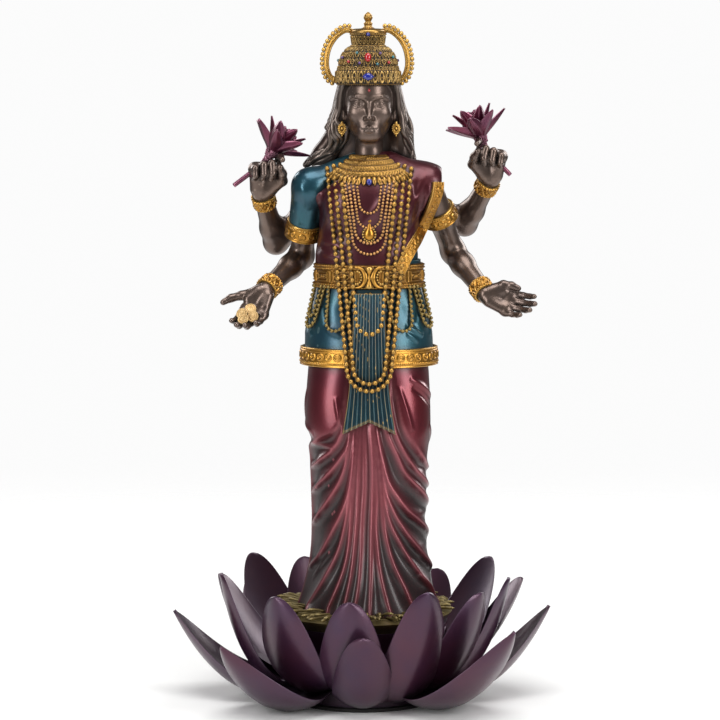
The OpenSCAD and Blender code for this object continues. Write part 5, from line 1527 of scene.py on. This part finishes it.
row_width = 3.4
braid_b, braid_v = np.linspace(-180, 180, 421)[:-1][None, :], np.linspace(0, 4 * row_width, 60)[:, None]
surface = collar(braid_b, braid_v)
across_rows = (braid_v % row_width) - row_width / 2
plait = np.abs(np.sin(np.radians(braid_b) * 30 + np.sign(across_rows) * across_rows * 1.7))
raised = np.clip(1 - (across_rows / 1.6) ** 2, 0, 1) ** 0.5 * (0.4 + 0.6 * plait)
away = surface - np.array([axis_x, 1.6, 0])
away[..., 2] = np.linalg.norm(away[..., :2], axis=-1) * 0.8
away = unit(away)
parts = [slab(surface + away * (0.4 + 0.8 * raised)[..., None], surface - away * 0.5, loop=True)]
leaf_radii = np.array([0.5, 0.75, 0.9, 1.0, 0.95, 0.85, 0.65, 0.4, 0.12])
for b in np.linspace(-96, 96, 27):
    path = collar(np.full(9, b), np.linspace(13.2, 18.4, 9)) + (0, -0.5, 0)
    parts.append(swept(path, leaf_radii, 8, (0, 1, 0.4), flat=0.55))
shade = np.concatenate([np.tile(np.clip(0.85 - 1.1 * raised.ravel(), 0, 1), 2),
                        np.full(sum(len(part[0]) for part in parts[1:]), 0.15)])
middle_gem = cabochon(collar(np.array([0.0]), np.array([16.2]))[0] + (0, -0.9, 0), 1.1, 1.3, 0.8)
choker_piece = new_piece("braided_collar", *joined(parts), {"hollow": shade, "crest": 0.5 * (1 - shade)})
finish_piece(choker_piece, strand_gold, "antique_gold", "choker")
gem = new_piece("collar_stone", *middle_gem, {"stone": np.full(len(middle_gem[0]), 0.3)})
finish_piece(gem, enamel, "gem_enamel")

# ---- Belt, clasp and hip swags ----------------------------------------------------------------
# The belt is a cast gold band: two rows of small beads along each edge and framed plaques between
# them. Its clasp is two crescents back to back; loops of small beads hang from it at the hips.


def plaques(u, v, height):
    """Relief of the belt: beaded edges, and framed panels with a scroll in each, parted by little posts."""
    edge = height / 2 - np.abs(v - height / 2)
    row = bell(edge - 0.55, 0.42) + bell(edge - 1.65, 0.42)
    bead = row * (0.35 + 0.65 * np.abs(np.cos(np.pi * u / 1.1)))
    near = (u + 4.5) % 9.0 - 4.5
    mid = v - height / 2
    inside = (np.abs(mid) < height / 2 - 2.5).astype(float)
    panel = bell(np.maximum(np.abs(near) / 3.6, np.abs(mid) / (height / 2 - 2.8)) - 0.86, 0.09)
    heart = bell(np.hypot(near, mid * 1.3), 0.8)
    scroll = bell(np.hypot(np.abs(near) - 1.7, mid) - 0.75, 0.22)
    post = bell(np.abs(near) - 4.5, 0.35)
    inner = inside * np.maximum(np.maximum(panel, heart), np.maximum(scroll, post))
    return 0.75 * np.clip(np.maximum(bead, inner), 0, 1)


belt_z, belt_height, belt_radius = 166.3, 9.6, 17.5
v = np.linspace(0, belt_height, 48)[:, None]
b = np.linspace(-180, 180, 440, endpoint=False)[None, :]
edge_round = 0.5 * np.clip(np.minimum(v, belt_height - v) / 0.6, 0, 1) ** 0.5
lift = plaques(np.radians(b) * belt_radius, v, belt_height)
belt_outer = round_body(b, belt_z + v, 1.6 + edge_round + lift)
belt_inner = round_body(b, belt_z + v, 0.6)
belt_piece = new_piece("plaque_belt", *slab(belt_outer, belt_inner, loop=True))
finish_piece(belt_piece, strand_gold, "antique_gold", "belt")

clasp_z = belt_z + belt_height / 2
clasp_y = float(round_body(0.0, clasp_z, 2.8)[1])
clasp_parts = []
a = np.radians(np.linspace(-100, 100, 40))
for side in (-1, 1):
    middle = np.array([axis_x + side * 5.0, clasp_y, clasp_z])
    path = middle + xyz(-side * 3.5 * np.cos(a), -0.7 * np.cos(a), 4.0 * np.sin(a))
    clasp_parts.append(swept(path, tapered(40, [0, 0.5, 1], [0.25, 1.05, 0.25]), 14, (0, 1, 0), flat=0.8))
    inner = a[::5]
    clasp_parts.append(beads(middle + xyz(-side * 1.9 * np.cos(inner), -0.6, 2.5 * np.sin(inner)), 0.42))
glass_z = np.array([166.6, 167.2, 168.6, 170.0, 171.1, 172.2, 173.6, 175.0, 175.6])
glass_radii = np.array([0.3, 1.7, 1.1, 0.5, 0.8, 0.5, 1.1, 1.7, 0.3])
clasp_parts.append(swept(xyz(axis_x, clasp_y - 0.7, glass_z), glass_radii, 14, (0, 1, 0)))
rosette = (axis_x, clasp_y - 0.6, 161.6)
for count, radius in ((8, 1.6), (13, 3.1)):
    clasp_parts.append(beads(hoop(rosette, radius, radius, count), 0.62))
clasp_parts.append(beads(rosette, 0.8, 10))
gold_set("crescent_clasp", clasp_parts, gold, "belt_clasp")

swag_parts, swag_size = [], 1.5
for side in (-1, 1):
    for bearing, radius, top_w, hang in ((31, 4.8, 6.0, 16.5), (64, 3.9, 5.0, 15.5), (66, 2.5, 3.3, 11.5)):
        x, z, length = u_line(radius, top_w, 166.5 - hang, 167.0, 300)
        w, d = body_half(z)
        grow = np.interp(z, [136, 150, 166], [4.9, 3.6, 2.2])
        around = side * bearing + np.degrees((x - axis_x) / (w + grow)) * 0.95
        path = round_body(around, z, grow + 0.35)
        swag_parts.append(beads(spaced(path, length, swag_size * 1.15), swag_size / 2))
        bed = path[::4] - (path[::4] - (axis_x, 0, 0)) * (0.02, 0.02, 0)
        swag_parts.append(swept(bed, 0.42, 6, (0, 0, 1)))
swag_gold = paint("dark_bead_gold", (104, 86, 46), (84, 74, 50), (14, 12, 9), (206, 176, 104), 0.92, 0.34, 0.1,
                  patch=200.0, second_amount=0.7, wash_amount=0.95, brushed_amount=0.4, reach=0.0012)
gold_set("hip_bead_swags", swag_parts, swag_gold, "hip_swags")

# ---- Lotus blooms in the rear hands ------------------------------------------------------------
# Two open lotus flowers on short stems, modelled with the hands that hold them: three layers of
# narrow pointed petals in metallic magenta round a beaded heart.

bloom_paint = paint("magenta_pearl", (112, 42, 66), (84, 40, 68), (24, 9, 15), (210, 150, 172), 0.78, 0.3, 0.4,
                    patch=90.0, second_amount=0.7, wash_amount=0.9, brushed_amount=0.35, reach=0.0022)


# number of petals in each layer, angle from the axis, length, width and bearing of the first
bloom_layers = ((5, 12, 15.0, 6.0, 20), (6, 34, 17.4, 7.0, 0), (7, 62, 17.6, 6.8, 24))


def bloom(base, axis, stem_end, seed):
    """A flower opening along an axis, with its stem down to the hand: layers of petals tipped out from the
    axis by set angles, each a thin closed blade."""
    axis = unit(np.asarray(axis, float))
    side = unit(np.cross(axis, (0, 1, 0)))
    front = np.cross(side, axis)
    rng = np.random.default_rng(seed)
    t = np.linspace(0, 1, 22)
    s = np.linspace(-1, 1, 11)[None, :]
    parts = []
    for count, tip_angle, length, width, start in bloom_layers:
        for k in range(count):
            turn = np.radians(start + 360 * k / count + rng.uniform(-5, 5))
            lean = np.radians(tip_angle + rng.uniform(-5, 5))
            bend = (lean * np.sin(np.clip(t * 3.2, 0, np.pi / 2)) * (1.12 - 0.28 * t))[:, None]
            radial = np.cos(turn) * side + np.sin(turn) * front
            tangent = -np.sin(turn) * side + np.cos(turn) * front
            step = length / (len(t) - 1)
            spine = base + np.cumsum(np.sin(bend), 0) * step * radial + np.cumsum(np.cos(bend), 0) * step * axis
            normal = (-np.cos(bend) * radial + np.sin(bend) * axis)[:, None]
            half = width / 2 * np.sin(np.pi * np.clip(t, 0.04, 1) ** 0.85) ** 0.62 * (1 - 0.08 * t) + 0.1
            half = half[:, None]
            cup = 0.55 * half * s ** 2 + 0.12 * np.cos(s * 9)
            sheet = spine[:, None] + (half * s)[..., None] * tangent + cup[..., None] * normal
            thick = (0.62 * (1 - 0.5 * t))[:, None, None] * normal * np.cos(s * 1.3)[..., None]
            parts.append(slab(sheet + thick, sheet - thick))
    parts.append(beads(base + axis * 3.2 + rng.normal(0, 0.8, (14, 3)), 0.7))
    bend_at = base * 0.6 + np.asarray(stem_end) * 0.4 + (0, 0.6, 0)
    stem = smooth_curve(np.array([base + axis * 1.0, bend_at, stem_end]), 24)
    parts.append(swept(stem, tapered(24, [0, 0.15, 0.9, 1], [1.9, 1.0, 0.95, 0.9]), 12))
    return joined(parts)


for hand, base, axis, stem_end, seed in (
        ("right", (-38.4, 0.6, 216.4), (0.54, 0.16, 0.82), (-51.5, 2.6, 206.4), 3),
        ("left", (48.4, 6.6, 221.4), (-0.34, 0.10, 0.92), (59.0, 8.6, 210.4), 8)):
    flower = new_piece(hand + "_lotus_flower", *bloom(np.array(base), axis, stem_end, seed))
    finish_piece(flower, bloom_paint, "bloom_paint", hand + "_lotus_bloom")

# ---- Coins ------------------------------------------------------------------------------------
# Four small plain coins lying on the open palm and fingers, pale gold, with a raised rim and a
# raised ring.

coin_radii = np.array([0.001, 1.0, 1.15, 1.3, 1.75, 1.9, 2.12, 2.2, 2.2, 2.1, 0.001])[:, None]
coin_heights = np.array([-0.3, -0.3, -0.4, -0.3, -0.3, -0.45, -0.45, -0.36, 0.3, 0.38, 0.38])[:, None]
a = circle(36)[None, :]
coin_parts = []
for *place, tip_x, tip_y in (
        (0.6, -2.9, 10.4, 8, -10), (2.6, -3.5, 13.6, -6, 6), (-2.0, -3.6, 13.2, -12, 4),
        (0.6, -4.6, 15.9, 4, 12)):
    points, quads = solid(xyz(coin_radii * np.cos(a), coin_heights, coin_radii * np.sin(a)))
    for turn, pair in ((tip_x, [1, 2]), (tip_y, [0, 1])):
        c, s = np.cos(np.radians(turn)), np.sin(np.radians(turn))
        points[:, pair] = points[:, pair] @ np.array([[c, s], [-s, c]])
    coin_parts.append(((points + place) * hand_sizes[0] @ hand_axes[0] + wrists[0], quads))
coin_gold = paint("pale_coin_gold", (198, 164, 108), (176, 138, 88), (96, 70, 42), (226, 202, 150), 0.5, 0.46,
                  0.1, patch=260.0, wash_amount=0.5, reach=0.0016)
finish_piece(new_piece("palm_coins", *joined(coin_parts)), coin_gold, "coin_gold", "coins")
